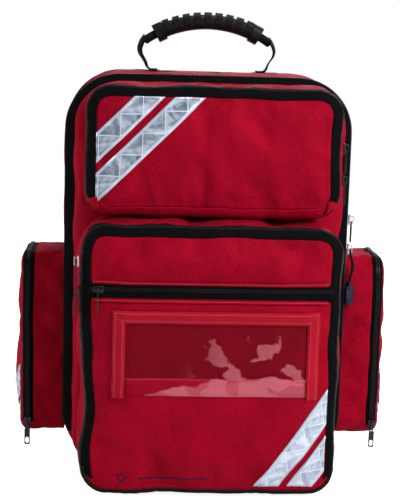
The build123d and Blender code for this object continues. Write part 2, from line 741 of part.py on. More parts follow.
ANCHOR_THICK = 3.0
ANCHOR_LONG = 36.0
ANCHOR_WIDE = 30.0
ANCHOR_X = LEG_X - LEG_THICK / 2
with BuildPart() as handle_anchors:
    with BuildSketch(Plane.XY.offset(SHELL.height)):
        with Locations((-ANCHOR_X, HANDLE_Y), (ANCHOR_X, HANDLE_Y)):
            RectangleRounded(ANCHOR_LONG, ANCHOR_WIDE, 3)
    extrude(amount=ANCHOR_THICK)
handle_anchors.part.label = "handle_anchors"
export_step(handle_anchors.part, "parts/handle_anchors.step")
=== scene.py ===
import math

import bpy
import numpy as np
from mathutils import Matrix, Vector, noise
from mathutils.bvhtree import BVHTree


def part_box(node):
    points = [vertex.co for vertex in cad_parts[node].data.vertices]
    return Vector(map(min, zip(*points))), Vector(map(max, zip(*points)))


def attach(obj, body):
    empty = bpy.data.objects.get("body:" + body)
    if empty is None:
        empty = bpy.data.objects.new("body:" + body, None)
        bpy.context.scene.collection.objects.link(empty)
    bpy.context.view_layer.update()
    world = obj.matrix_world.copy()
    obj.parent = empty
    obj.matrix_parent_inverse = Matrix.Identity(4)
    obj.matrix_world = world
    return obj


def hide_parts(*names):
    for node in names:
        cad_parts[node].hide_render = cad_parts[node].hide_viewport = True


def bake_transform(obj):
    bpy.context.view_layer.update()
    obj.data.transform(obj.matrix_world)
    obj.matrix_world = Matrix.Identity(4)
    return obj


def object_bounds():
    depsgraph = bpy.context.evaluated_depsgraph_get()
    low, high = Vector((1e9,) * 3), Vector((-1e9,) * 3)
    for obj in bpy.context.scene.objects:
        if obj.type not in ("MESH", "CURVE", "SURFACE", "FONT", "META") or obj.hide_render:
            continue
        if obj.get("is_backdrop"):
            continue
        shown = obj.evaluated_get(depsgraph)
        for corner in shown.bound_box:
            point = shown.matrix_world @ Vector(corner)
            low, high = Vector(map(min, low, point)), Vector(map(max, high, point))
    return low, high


# A trauma backpack. Metres, in the CAD model's frame: X right, Y to the wearer's back, Z up.

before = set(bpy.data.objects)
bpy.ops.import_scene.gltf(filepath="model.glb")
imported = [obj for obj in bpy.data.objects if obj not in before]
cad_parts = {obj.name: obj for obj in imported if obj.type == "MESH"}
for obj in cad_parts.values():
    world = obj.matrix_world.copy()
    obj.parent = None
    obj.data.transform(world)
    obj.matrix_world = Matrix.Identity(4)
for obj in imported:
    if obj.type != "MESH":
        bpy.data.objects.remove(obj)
CAD_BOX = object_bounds()
MM = 0.001
NOISE_SEED = 5
noise.seed_set(NOISE_SEED)      # without it, noise_vector's offsets come from the clock

FABRIC, FLAP_TAPE, FIXED_TAPE, FIXED, FOLD = range(5)   # the regions of a simulated case


# Camera, lights and floor -------------------------------------------------------------------

EYE = Vector((-0.107, -1.622, 0.560))
YAW, PITCH, ROLL = 0.061, 0.171, 0.028      # radians
SENSOR_HEIGHT, LENS = 36, 95.1              # millimetres

STUDIO_MIDDLE = (0, 0, 0.28)
LIGHTS = {      # name: place and size in metres, power in watts
    "key_light": ((1.1, -1.0, 1.15), (0.6, 0.6), 31),
    "fill_light": ((-1.5, -1.6, 0.8), (1.2, 1.2), 1.5),
    "top_light": ((0.1, -0.2, 2.2), (1.0, 0.6), 15),
    "back_light": ((0.4, 1.9, 1.3), (1.6, 1.2), 26),
    "left_light": ((-2.2, 0.0, 0.7), (0.8, 1.2), 26),
}
WORLD_LIGHT, WORLD_SEEN = 0.16, 1.0         # the world's strength on the object, and to the camera
FLOOR_SEEN = 0.9                            # the floor's own light, to the camera only


def aim_camera():
    """The photograph's view: a little left of the middle, from above, with some roll."""
    level = math.cos(PITCH)
    ahead = Vector((math.sin(YAW) * level, math.cos(YAW) * level, -math.sin(PITCH)))
    right = Vector((math.cos(YAW), -math.sin(YAW), 0))
    up = right.cross(ahead)
    right, up = (
        right * math.cos(ROLL) + up * math.sin(ROLL),
        up * math.cos(ROLL) - right * math.sin(ROLL),
    )
    data = bpy.data.cameras.new("camera")
    data.sensor_fit = "VERTICAL"
    data.sensor_height = SENSOR_HEIGHT
    data.lens = LENS
    camera = bpy.data.objects.new("camera", data)
    camera.matrix_world = Matrix((
        (right.x, up.x, -ahead.x, EYE.x),
        (right.y, up.y, -ahead.y, EYE.y),
        (right.z, up.z, -ahead.z, EYE.z),
        (0, 0, 0, 1),
    ))
    bpy.context.collection.objects.link(camera)
    bpy.context.scene.camera = camera


def light_studio():
    """Soft area lights, and a white world that the camera sees brighter than it shines."""
    for name, (place, size, power) in LIGHTS.items():
        data = bpy.data.lights.new(name, "AREA")
        data.shape = "RECTANGLE"
        data.size, data.size_y = size
        data.energy = power
        light = bpy.data.objects.new(name, data)
        light.location = place
        way = Vector(STUDIO_MIDDLE) - Vector(place)
        light.rotation_euler = way.to_track_quat("-Z", "Y").to_euler()
        bpy.context.collection.objects.link(light)
    world = Nodes(bpy.data.worlds.new("studio"), "Background")
    strength = world.ramp(world.camera_ray(), 0.0, 1.0, WORLD_LIGHT, WORLD_SEEN)
    bpy.context.scene.world = world.finish({"Strength": strength, "Color": (1, 1, 1)})
    bpy.context.scene.view_settings.view_transform = "Standard"


# Materials ----------------------------------------------------------------------------------

WAVE_PERIOD = 0.314         # metres between a wave texture's bands at scale 1
TAPE_SIZE = 25 * MM         # the reflective tapes' width
PRISM = 18 * MM             # the height of the reflective tapes' triangles


class Nodes:
    """The nodes of a material or a world, with short ways to add to them."""

    def __init__(self, owner, shader="Principled BSDF"):
        owner.use_nodes = True
        self.owner, self.tree = owner, owner.node_tree
        self.shader = self.tree.nodes[shader]

    def fill(self, node, values):
        """Fill inputs: a socket is linked, and a number or colour is set on the input itself."""
        for key, value in values.items():
            if isinstance(value, bpy.types.NodeSocket):
                self.tree.links.new(value, node.inputs[key])
            else:
                node.inputs[key].default_value = (*value, 1) if isinstance(value, tuple) else value
        return node

    def finish(self, values):
        self.fill(self.shader, values)
        return self.owner

    def add(self, kind, values=None, **settings):
        made = self.tree.nodes.new(f"ShaderNode{kind}")
        for key, value in settings.items():
            setattr(made, key, value)
        return self.fill(made, values or {})

    def on_object(self):
        return self.add("TexCoord").outputs["Object"]

    def on_cloth(self):
        return self.add("UVMap", uv_map="cloth").outputs["UV"]

    def camera_ray(self):
        return self.add("LightPath").outputs["Is Camera Ray"]

    def maths(self, operation, first, second=0.0):
        return self.add("Math", {0: first, 1: second}, operation=operation).outputs[0]

    def weighted(self, *terms):
        """The sum of (socket, weight) pairs."""
        total, *others = (self.maths("MULTIPLY", socket, weight) for socket, weight in terms)
        for other in others:
            total = self.maths("ADD", total, other)
        return total

    def ramp(self, value, low=0.0, high=1.0, to_low=0.0, to_high=1.0):
        ends = {"From Min": low, "From Max": high, "To Min": to_low, "To Max": to_high}
        return self.add("MapRange", {"Value": value, **ends}).outputs["Result"]

    def grain(self, place, scale, detail=2.0, distortion=0.0):
        values = {"Vector": place, "Scale": scale, "Detail": detail, "Distortion": distortion}
        return self.add("TexNoise", values).outputs["Fac"]

    def mix(self, factor, first, second):
        """Two colours or sockets mixed; 6 and 7 are a Mix node's colour inputs."""
        return self.add("Mix", {0: factor, 6: first, 7: second}, data_type="RGBA").outputs[2]

    def bump(self, height, distance, strength, below=None):
        values = {"Height": height, "Distance": distance, "Strength": strength}
        if below:
            values["Normal"] = below
        return self.add("Bump", values).outputs["Normal"]


def new_look(name):
    return Nodes(bpy.data.materials.new(name))


def woven(name, dark, light, thread=0.55 * MM, rough=0.8, sheen=0.25, tint=(1, 1, 1), from_uv=True,
          crease=0.5, ribs=False, contrast=1.0, gloss=0.10):
    """Cloth: a plain weave at its real thread size, slubs, faint blotches and soft creases."""
    look = new_look(name)
    body = look.on_object()
    place = look.on_cloth() if from_uv else body
    waves = [
        look.add("TexWave", {"Vector": place, "Scale": WAVE_PERIOD / (2 * thread)}, bands_direction=way)
        for way in "XY"
    ]
    waves = [wave.outputs["Fac"] for wave in waves]
    weave = waves[0] if ribs else look.maths("MULTIPLY", *waves)
    slubs = look.grain(place, 0.6 / thread)
    speckle, patches = look.grain(body, 420, 3.0), look.grain(body, 26, 3.0)
    tone = look.weighted((weave, 0.30), (slubs, 0.40), (speckle, 0.45), (patches, 0.25))
    tone = look.maths("MULTIPLY", look.maths("SUBTRACT", tone, 0.65), contrast)
    normal = look.bump(look.grain(body, 55, 4.0), 2.2 * MM, crease)
    normal = look.bump(slubs, 0.25 * MM, 0.5, normal)
    return look.finish({
        "Base Color": look.mix(look.maths("ADD", tone, 0.45), dark, light),
        "Normal": look.bump(weave, 0.22 * MM, 0.7, normal),
        "Roughness": rough,
        "Specular IOR Level": gloss,
        "Sheen Weight": sheen,
        "Sheen Roughness": 0.45,
        "Sheen Tint": tint,
    })


def moulded(name, dark, light, rough, metallic=0.0, scale=300, gloss=0.3):
    """Plastic, rubber or metal: fine mottling, a rubbed look and a little surface relief."""
    look = new_look(name)
    body = look.on_object()
    fine, rubbed = look.grain(body, scale, 4.0), look.grain(body, scale / 6, 3.0)
    return look.finish({
        "Base Color": look.mix(fine, dark, light),
        "Roughness": look.ramp(rubbed, to_low=max(rough - 0.12, 0.05), to_high=rough + 0.12),
        "Normal": look.bump(fine, 0.1 * MM, 0.4),
        "Metallic": metallic,
        "Specular IOR Level": gloss,
    })


def reflective_tape(name, dark, bright):
    """Silver prismatic tape: a lattice of small triangles under a clear film, in cells."""
    look = new_look(name)
    place = look.on_cloth()
    along, across, _ = look.add("SeparateXYZ", {0: place}).outputs
    inside = look.maths("SUBTRACT", across, 3.5 * MM)
    zigzag = look.maths("PINGPONG", along, PRISM)
    off_line = look.maths("ABSOLUTE", look.maths("SUBTRACT", zigzag, inside))
    off_middle = look.maths("ABSOLUTE", look.maths("SUBTRACT", across, TAPE_SIZE / 2))
    border = look.maths("MULTIPLY", look.maths("GREATER_THAN", off_middle, 9 * MM), 0.6)
    bars = look.maths("MAXIMUM", look.maths("LESS_THAN", off_line, 0.75 * MM), border)
    triangle = look.add("CombineXYZ", {
        "X": look.maths("FLOOR", look.maths("DIVIDE", along, PRISM)),
        "Y": look.maths("GREATER_THAN", zigzag, inside),
    })
    facet = look.add("TexWhiteNoise", {"Vector": triangle.outputs[0]}, noise_dimensions="2D")
    cells = look.add("TexVoronoi", {"Vector": place, "Scale": 90})
    shine = look.ramp(look.grain(place, 34, 4.0, 2.5), 0.42, 0.68, 0.0, 0.9)
    tone = look.weighted((cells.outputs["Distance"], 0.2), (shine, 1.0), (facet.outputs["Value"], 0.35))
    film = look.bump(look.grain(place, 60, 3.0), 0.6 * MM, 0.4)
    return look.finish({
        "Base Color": look.mix(bars, look.mix(tone, dark, bright), (0.66, 0.74, 0.85)),
        "Normal": look.bump(bars, 0.15 * MM, 0.6, film),
        "Roughness": 0.32,
        "Metallic": 0.25,
        "Coat Weight": 0.6,
        "Coat Roughness": 0.15,
    })


def clear_vinyl():
    """Soft clear PVC, with pale patches of painted glare where its alpha rises."""
    look = new_look("clear_vinyl")
    body = look.on_object()
    x, _, z = look.add("SeparateXYZ", {0: body}).outputs
    blotches = look.grain(body, 30, 3.0)
    to_right = look.ramp(x, -0.03, 0.02)
    downward = look.ramp(z, LABEL_HIGH[2] - 25 * MM, LABEL_HIGH[2] - 33 * MM)
    # Blotches of painted glare, to the lower right of the window
    glare_patches = look.ramp(blotches, 0.535, 0.55)
    glare_patches = look.maths("MULTIPLY", glare_patches, look.maths("MULTIPLY", to_right, downward))
    # A long patch of painted glare along the bottom, deeper to the right, with a ragged top
    limit = look.ramp(x, -0.085, 0.02, LABEL_LOW[2] + 2 * MM, LABEL_LOW[2] + 24 * MM)
    ragged = look.maths("ADD", z, look.maths("MULTIPLY", blotches, 30 * MM))
    above = look.maths("SUBTRACT", ragged, look.maths("ADD", limit, 15 * MM))
    strip = look.maths("MULTIPLY", look.ramp(above, 0.8 * MM, -0.8 * MM), 1.5)
    # The patches raise the alpha, so the pale pink film shows there: painted reflection.
    painted_glare = look.maths("MULTIPLY", look.maths("MAXIMUM", glare_patches, strip), 0.17)
    return look.finish({
        "Alpha": look.maths("ADD", 0.004, painted_glare),
        "Base Color": (0.90, 0.25, 0.32),
        "Roughness": 0.12,
        "Specular IOR Level": 0.06,
        "Normal": look.bump(look.grain(body, 22, 2.0), 2.0 * MM, 0.5),
    })


LABEL_LOW, LABEL_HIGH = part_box("id_frame")
RED_DARK, RED_LIGHT = (0.135, 0.0002, 0.0045), (0.47, 0.0012, 0.024)
BLACK_DARK, BLACK_LIGHT = (0.0005, 0.0005, 0.0006), (0.0055, 0.0055, 0.0065)
MATERIALS = {
    "red": woven("red_cloth", RED_DARK, RED_LIGHT, 0.55 * MM, 0.72, 0.03, (1.0, 0.15, 0.25), contrast=1.9,
                 gloss=0.04),
    "red_webbing": woven("red_webbing", (0.20, 0.0006, 0.007), (0.50, 0.004, 0.026), 0.9 * MM, 0.7, 0.07,
                         (1.0, 0.5, 0.5), crease=0.2, contrast=1.4),
    # A darker copy of the red cloth: painted shade, for the dimmer cloth seen through the window's vinyl.
    "red_painted_shade": woven("red_cloth_painted_shade", (0.070, 0.0001, 0.002), (0.27, 0.0004, 0.010), 0.55 * MM, 0.8, 0.0,
                       (1.0, 0.15, 0.25), contrast=1.5, gloss=0.04),
    "tape": woven("zip_tape", BLACK_DARK, BLACK_LIGHT, 0.5 * MM, 0.75, 0.0, crease=0.2, ribs=True,
                  gloss=0.03),
    "webbing": woven("black_webbing", BLACK_DARK, (0.009, 0.009, 0.010), 0.9 * MM, 0.7, 0.015, crease=0.1,
                     gloss=0.05),
    "webbing_cad": woven("black_webbing_plain", BLACK_DARK, (0.009, 0.009, 0.010), 0.9 * MM, 0.7, 0.015,
                         from_uv=False, crease=0.1),
    "mesh": woven("spacer_mesh", (0.002, 0.002, 0.003), (0.022, 0.022, 0.025), 1.6 * MM, 0.9, 0.08,
                  from_uv=False, crease=0.2),
    "lining": woven("grey_lining", (0.020, 0.021, 0.026), (0.065, 0.068, 0.080), 0.4 * MM, 0.6, 0.1),
    "coil": moulded("zip_coil", (0.002, 0.002, 0.0025), (0.012, 0.012, 0.014), 0.40, gloss=0.25),
    "metal": moulded("plated_zinc", (0.32, 0.33, 0.35), (0.62, 0.64, 0.67), 0.30, metallic=1.0),
    "gunmetal": moulded("dark_plated_zinc", (0.010, 0.010, 0.012), (0.06, 0.06, 0.07), 0.36, metallic=0.9),
    "rubber": moulded("grip_rubber", (0.0015, 0.0015, 0.0018), (0.009, 0.009, 0.010), 0.45, scale=500,
                      gloss=0.2),
    "navy": moulded("navy_tag", (0.0015, 0.002, 0.010), (0.004, 0.007, 0.034), 0.34),
    "buckle": moulded("buckle_plastic", (0.005, 0.005, 0.006), (0.020, 0.020, 0.022), 0.42),
    "sheet": moulded("stiffener_sheet", (0.010, 0.010, 0.011), (0.030, 0.030, 0.032), 0.5),
    "thread": moulded("pale_thread", (0.46, 0.030, 0.055), (0.66, 0.075, 0.10), 0.7, gloss=0.1),
    "thread_grey": moulded("grey_thread", (0.03, 0.03, 0.035), (0.08, 0.08, 0.09), 0.7),
    "cord": woven("cord_sleeve", BLACK_DARK, (0.014, 0.014, 0.016), 0.35 * MM, 0.7, 0.03, from_uv=False,
                  crease=0.0),
    "thread_white": moulded("white_thread", (0.42, 0.48, 0.58), (0.66, 0.72, 0.82), 0.7, gloss=0.1),
    "print": moulded("navy_print", (0.012, 0.001, 0.035), (0.022, 0.003, 0.065), 0.6, gloss=0.1),
    "reflective": reflective_tape("reflective_tape", (0.045, 0.075, 0.125), (0.50, 0.58, 0.69)),
    # A brighter copy of the reflective tape: painted reflection, for the lower pocket's tapes that catch the
    # light.
    "reflective_bright": reflective_tape("reflective_tape_painted_glare", (0.22, 0.28, 0.40), (0.60, 0.69, 0.80)),
    "vinyl": clear_vinyl(),
}


# Mesh helpers -------------------------------------------------------------------------------

def mesh_object(name, points, faces, materials, uvs=None, indices=None, smooth=True):
    """An object from points, faces, one uv per face corner, and a material index per face."""
    mesh = bpy.data.meshes.new(name)
    mesh.from_pydata([tuple(p) for p in points], [], [tuple(f) for f in faces])
    for material in materials:
        mesh.materials.append(MATERIALS[material])
    layer = mesh.uv_layers.new(name="cloth")
    if uvs is not None:
        layer.data.foreach_set("uv", np.asarray(uvs, float).ravel())
    if indices is not None:
        mesh.polygons.foreach_set("material_index", np.asarray(indices, np.int32))
    mesh.polygons.foreach_set("use_smooth", [smooth] * len(mesh.polygons))
    mesh.update()
    made = bpy.data.objects.new(name, mesh)
    bpy.context.collection.objects.link(made)
    return made


def settle(piece, body, slot, *nodes):
    """Say which body a piece rides on, and hide the CAD nodes that it stands for; slot is not used."""
    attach(piece, body)
    if nodes:
        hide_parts(*nodes)
    return piece


def apply_modifiers(piece):
    graph = bpy.context.evaluated_depsgraph_get()
    shown = piece.evaluated_get(graph)
    mesh = bpy.data.meshes.new_from_object(shown, preserve_all_data_layers=True, depsgraph=graph)
    piece.modifiers.clear()
    old = piece.data
    piece.data = mesh
    bpy.data.meshes.remove(old)


def subdivide(piece):
    made = piece.modifiers.new("smooth", "SUBSURF")
    made.levels = made.render_levels = 1
    apply_modifiers(piece)


def thicken(piece, thickness, offset=-1.0, inner=0):
    """Give cloth its thickness; inner is the material's step for the inside."""
    made = piece.modifiers.new("thickness", "SOLIDIFY")
    made.thickness = thickness
    made.offset = offset
    made.material_offset = inner


def coordinates_of(mesh):
    found = np.zeros(len(mesh.vertices) * 3)
    mesh.vertices.foreach_get("co", found)
    return found.reshape(-1, 3)


# Cases: the soft boxes of the shell and the pockets ------------------------------------------

def rounded_grid(us, vs, width, height, radius):
    """A square grid on -1 to 1 mapped to a rounded rectangle about (0, 0)."""
    u, v = np.meshgrid(us, vs)
    a, b = u * width / 2, v * height / 2
    flat_a, flat_b = width / 2 - radius, height / 2 - radius
    s = np.clip((np.abs(a) - flat_a) / radius, 0, 1)
    t = np.clip((np.abs(b) - flat_b) / radius, 0, 1)
    a = np.sign(a) * (np.minimum(np.abs(a), flat_a) + radius * s * np.sqrt(1 - t * t / 2))
    b = np.sign(b) * (np.minimum(np.abs(b), flat_b) + radius * t * np.sqrt(1 - s * s / 2))
    return a, b


def border_of(grid):
    """The grid's outer points in order, from the low left corner, anticlockwise."""
    return np.concatenate([grid[0, :-1], grid[:-1, -1], grid[-1, :0:-1], grid[:0:-1, 0]])


class Case:
    """A soft box: a wall round an outline, and a panel that closes it at full depth.

    Its own coordinates are a across, b up and d out from the open side. place maps them to the frame.
    Each level is (depth, side inset, top inset, base inset)."""

    def __init__(self, name, width, base, top, radius, place, levels, region, cell=6.5 * MM):
        self.place = place
        self.width, self.base, self.top, self.radius = width, base, top, radius
        self.depth = levels[-1][0]
        height = top - base
        self.us = np.linspace(-1, 1, round(width / cell) + 1)
        self.vs = np.linspace(-1, 1, round(height / cell) + 1)
        rows = []
        for depth, side, upper, lower in levels:
            tall = height - upper - lower
            corner = max(radius - max(side, (upper + lower) / 2), 8 * MM)
            a, b = rounded_grid(self.us, self.vs, width - 2 * side, tall, corner)
            rows.append((a, b + base + lower + tall / 2, depth))
        self.around = len(border_of(rows[0][0]))
        points = []
        for a, b, depth in rows[:-1]:
            for p, q in zip(border_of(a), border_of(b)):
                points.append((p, q, depth))
        a, b, depth = rows[-1]
        self.panel_start = len(points)
        points += [(p, q, depth) for p, q in zip(a.ravel(), b.ravel())]
        self.local = np.array(points)
        self.build_faces(levels, region)
        self.piece = mesh_object(
            name, self.to_frame(self.local), self.faces, ["red"] * 5, self.uvs, self.regions
        )
        if self.piece.data.polygons[-1].normal.dot(self.outward()) < 0:
            self.piece.data.flip_normals()

    def to_frame(self, local):
        return np.stack(self.place(local[:, 0], local[:, 1], local[:, 2]), axis=1)

    def outward(self):
        """The way out from the open side."""
        near, far = self.to_frame(np.array([[0, 0, 0.0], [0, 0, 1.0]]))
        return Vector(far - near)

    def build_faces(self, levels, region):
        across, up = len(self.us), len(self.vs)
        index = np.arange(across * up).reshape(up, across) + self.panel_start
        rim = border_of(index)
        loops = [np.arange(self.around) + k * self.around for k in range(len(levels) - 1)] + [rim]
        self.loops = loops
        first = self.local[loops[0]]
        steps = np.linalg.norm(np.diff(first[:, :2], axis=0, append=first[:1, :2]), axis=1)
        travel = np.concatenate([[0], np.cumsum(steps)])
        self.faces, self.regions, uvs = [], [], []
        for row, (lower, upper) in enumerate(zip(loops[:-1], loops[1:])):
            for k in range(self.around):
                nxt = (k + 1) % self.around
                face = [lower[k], lower[nxt], upper[nxt], upper[k]]
                self.faces.append(face)
                middle = self.local[face].mean(axis=0)
                low = min(levels[row][0], levels[row + 1][0])
                self.regions.append(region(self, low, middle))
                d0, d1 = levels[row][0], levels[row + 1][0]
                uvs += [(travel[k], d0), (travel[k + 1], d0), (travel[k + 1], d1), (travel[k], d1)]
        for j in range(up - 1):
            for i in range(across - 1):
                face = [index[j, i], index[j, i + 1], index[j + 1, i + 1], index[j + 1, i]]
                self.faces.append(face)
                self.regions.append(FABRIC)
                uvs += [tuple(self.local[corner][:2]) for corner in face]
        self.uvs = uvs

    def pins(self, fixed_levels, soft_levels, soft=0.55):
        """Vertex weights that hold whole levels in place."""
        group = self.piece.vertex_groups.new(name="pin")
        for levels, weight in ((soft_levels, soft), (fixed_levels, 1.0)):
            for level in levels:
                group.add([int(k) for k in self.loops[level]], weight, "REPLACE")

    def rumple(self, amount, size, seed, levels=()):
        """Uneven the case before the simulation; listed levels and their points stay."""
        mesh = self.piece.data
        held = set(int(k) for level in levels for k in self.loops[level])
        for k, vertex in enumerate(mesh.vertices):
            if k in held:
                continue
            where = vertex.co / size + Vector((seed, seed * 0.7, -seed))
            vertex.co += noise.noise_vector(where) * amount

    def keep_settled(self):
        self.piece.data.vertices.foreach_set("co", self.settled.ravel())
        self.piece.data.update()

    def ruffle(self, amount, seed):
        """Soft folds, longer than they are wide, fading out at the pinned rows."""
        mesh = self.piece.data
        first = self.local[:, 2] / self.depth
        for k, vertex in enumerate(mesh.vertices):
            a, b = self.local[k, 0], self.local[k, 1]
            fold = noise.noise(Vector((a / 0.022 + b / 0.09, b / 0.075, seed)))
            fold += 0.6 * noise.noise(Vector((a / 0.06, b / 0.025 - a / 0.07, seed + 4)))
            away = min(1.0, max(0.0, (self.width / 2 - abs(a)) / 0.03)) if first[k] > 0.999 else 0.35
            self.settled[k] += np.array(vertex.normal) * amount * fold * away * (first[k] > 0.15)
        self.settled[:, 2] = np.maximum(self.settled[:, 2], FLOOR_GAP)
        self.keep_settled()

    def finish(self):
        """Subdivide the settled mesh, keep a tree of it, and leave it ready to be cut in regions."""
        subdivide(self.piece)
        mesh = self.piece.data
        corners = [tuple(face.vertices) for face in mesh.polygons]
        self.tree = BVHTree.FromPolygons([vertex.co for vertex in mesh.vertices], corners)

    def cut(self, region, name, materials):
        """A new object from the faces of one region."""
        mesh = self.piece.data
        layer = mesh.uv_layers["cloth"].data
        points, faces, uvs, new = [], [], [], {}
        for polygon in mesh.polygons:
            if polygon.material_index != region:
                continue
            face = []
            for corner in polygon.vertices:
                if corner not in new:
                    new[corner] = len(points)
                    points.append(mesh.vertices[corner].co[:])
                face.append(new[corner])
            faces.append(face)
            uvs += [layer[k].uv[:] for k in polygon.loop_indices]
        return mesh_object(name, points, faces, materials, uvs)

    def drop(self, a, b, reach=0.12):
        """The point and normal of the settled panel straight in from (a, b)."""
        start, inner = self.to_frame(np.array([[a, b, self.depth + reach], [a, b, self.depth - reach]]))
        way = Vector(inner - start)
        place, normal, _, _ = self.tree.ray_cast(Vector(start), way.normalized(), 2 * reach)
        if place is None:
            place, normal, _, _ = self.tree.find_nearest(Vector((start + inner) / 2))
        if normal.dot(way) > 0:
            normal = -normal
        return place, normal

    def level_path(self, level, low=-math.inf, high=math.inf):
        """The settled points of one level between two heights, in order round the loop."""
        loop = self.loops[level]
        heights = self.local[loop, 1]
        keep = (heights > low) & (heights < high)
        start = int(np.argmin(keep))
        order = np.roll(np.arange(len(loop)), -start)
        return [self.on_surface(self.settled[loop[k]]) for k in order if keep[k]]

    def on_surface(self, point):
        place, normal, _, _ = self.tree.find_nearest(Vector(point))
        return place, normal


FLOOR_GAP = 0.4 * MM


CLOTH = {
    "quality": 6, "mass": 0.3, "tension_stiffness": 25, "compression_stiffness": 25,
    "shear_stiffness": 10, "bending_stiffness": 1.2, "vertex_group_mass": "pin", "use_pressure": True,
}


def add_cloth(piece, pressure, spare, frames):
    """Cloth under pressure from inside; spare is the share by which it may grow."""
    cloth = piece.modifiers.new("cloth", "CLOTH")
    for key, value in CLOTH.items():
        setattr(cloth.settings, key, value)
    cloth.settings.uniform_pressure_force = pressure
    cloth.settings.shrink_min = -spare
    cloth.settings.effector_weights.gravity = 0
    cloth.collision_settings.use_collision = False
    cloth.point_cache.frame_start = 1
    cloth.point_cache.frame_end = frames


def simulate(jobs, frames=20):
    """Let the pressure inside fill out every case at once, then keep the shapes.

    A job is (case, pressure, spare cloth, the furthest that a point may move)."""
    for case, pressure, spare, _ in jobs:
        add_cloth(case.piece, pressure, spare, frames)
    for step in range(1, frames + 1):
        bpy.context.scene.frame_set(step)
    graph = bpy.context.evaluated_depsgraph_get()
    for case, *_ in jobs:
        shown = case.piece.evaluated_get(graph)
        case.settled = coordinates_of(shown.to_mesh())
        shown.to_mesh_clear()
    for case, _, _, cap in jobs:
        before = coordinates_of(case.piece.data)
        moved = case.settled - before
        size = np.linalg.norm(moved, axis=1, keepdims=True)
        moved *= np.minimum(1, cap / np.maximum(size, 1e-9))
        case.piece.modifiers.clear()
        case.settled = before + moved
        case.settled[:, 2] = np.maximum(case.settled[:, 2], FLOOR_GAP)
        case.keep_settled()
    bpy.context.scene.frame_set(1)


def even_steps(depths, longest=7 * MM):
    """The listed depths with even steps put in between where they are far apart."""
    out = [depths[0]]
    for depth in depths[1:]:
        count = max(1, math.ceil((depth - out[-1]) / longest))
        start = out[-1]
        out += [start + (depth - start) * (k + 1) / count for k in range(count)]
    return out


# The CAD model's sizes ----------------------------------------------------------------------

SHELL_LOW, SHELL_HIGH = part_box("rear_gusset")
LID_LOW, LID_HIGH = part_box("lid_panel")
UPPER_LOW, UPPER_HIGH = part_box("upper_flap")
LOWER_LOW, LOWER_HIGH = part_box("lower_flap")
SIDE_LOW, SIDE_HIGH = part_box("side_flap_right")
SPLIT_Y = SHELL_LOW[1]
BACK_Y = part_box("back_panel")[1][1]
LID_Y = LID_LOW[1]
SHELL_X, SHELL_TOP = SHELL_HIGH[0], SHELL_HIGH[2]
SIDE_Y = (SIDE_LOW[1] + SIDE_HIGH[1]) / 2
SHELL_RADIUS, POCKET_RADIUS, SIDE_RADIUS = 66 * MM, 30 * MM, 22 * MM
EDGE_RADIUS = 12 * MM       # the front pockets' soft front edge, all black above the zip's ends
FRONT_ZIP_END = 17 * MM     # how far above the base a front pocket's zip ends
SIDE_ZIP_END = 16 * MM
SIDE_SLUMP = 8 * MM         # how far the empty side pockets' tops sink
TAPE = 6.5 * MM
ZIP_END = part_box("main_zip_rear")[0][2]
POCKET_RIM, SIDE_RIM = 7 * MM, 10 * MM      # where the zip's middle is behind the pocket's front
POCKET_FLAP, SIDE_FLAP = 0.8 * MM, 3.5 * MM # how far behind the front the level next to the panel is


def front_place(a, b, d):
    return a, LID_Y - d, b


def lid_place(a, b, d):
    return a, SPLIT_Y - 0.3 * MM - d, b


def rear_place(a, b, d):
    return a, SPLIT_Y + d, b


def side_place(side):
    return lambda a, b, d: (side * (SHELL_X + d), SIDE_Y + side * a, b)


def edge_inset(behind, radius):
    """How far a rounded front edge pulls the outline in, so far behind the front."""
    if behind >= radius:
        return 0.0
    return radius - math.sqrt(radius ** 2 - (radius - behind) ** 2)


def pocket_levels(depth, rim, radius, flap_start):
    """A pocket's levels, and which of them is the split between flap and gusset."""
    depths = even_steps([0, depth - rim - TAPE])
    depths += [depth - rim - TAPE / 2, depth - rim, depth - (rim + flap_start) / 2]
    depths += [depth - flap_start, depth]
    levels = []
    for d in depths:
        inset = edge_inset(depth - d, radius)
        levels.append((d, inset, inset, inset))
    return levels, len(depths) - 4


def pocket_region(rim, flap_start, zip_end):
    """A pocket's regions; its zips end on a line out from the middle of each lower corner."""
    def region(case, low, middle):
        behind = case.depth - low
        drop = case.radius - zip_end
        slope = drop / math.sqrt(case.radius ** 2 - drop ** 2)
        into_corner = max(0.0, abs(middle[0]) - case.width / 2 + case.radius)
        zipped = case.base + case.radius - middle[1] < slope * into_corner
        if behind <= flap_start + 1e-6:
            return FABRIC
        if behind <= rim + 1e-6:
            return FLAP_TAPE if zipped else FOLD
        if behind <= rim + TAPE + 1e-6:
            return FIXED_TAPE if zipped else FIXED
        return FIXED
    return region


def main_region(tape_depth, tape):
    def region(case, low, middle):
        if low > tape_depth:
            return FABRIC
        return tape if middle[1] > ZIP_END else FOLD
    return region


def plain_region(case, low, middle):
    return FABRIC


PADS = {"left": (-78, 104, 204, 436, 24), "right": (78, 104, 204, 436, 24), "lumbar": (0, 180, 54, 170, 28)}
POUCHES = {"low": (0, 300, 23, 213, 16), "left": (-78, 144, 229, 455, 16), "right": (78, 144, 229, 455, 16)}


def soft_block(name, sizes, depth, place, rounding, cell):
    """A padded or stuffed piece that fills a CAD block: (middle, width, base, top, radius) in mm."""
    middle, width, base, top, radius = (size * MM for size in sizes)
    levels = []
    for d in even_steps([0, depth - rounding, depth - rounding * 0.45, depth]):
        inset = edge_inset(depth - d, rounding)
        levels.append((d, inset, inset, inset))
    return Case(name, width, base, top, radius, place(middle), levels, plain_region, cell)


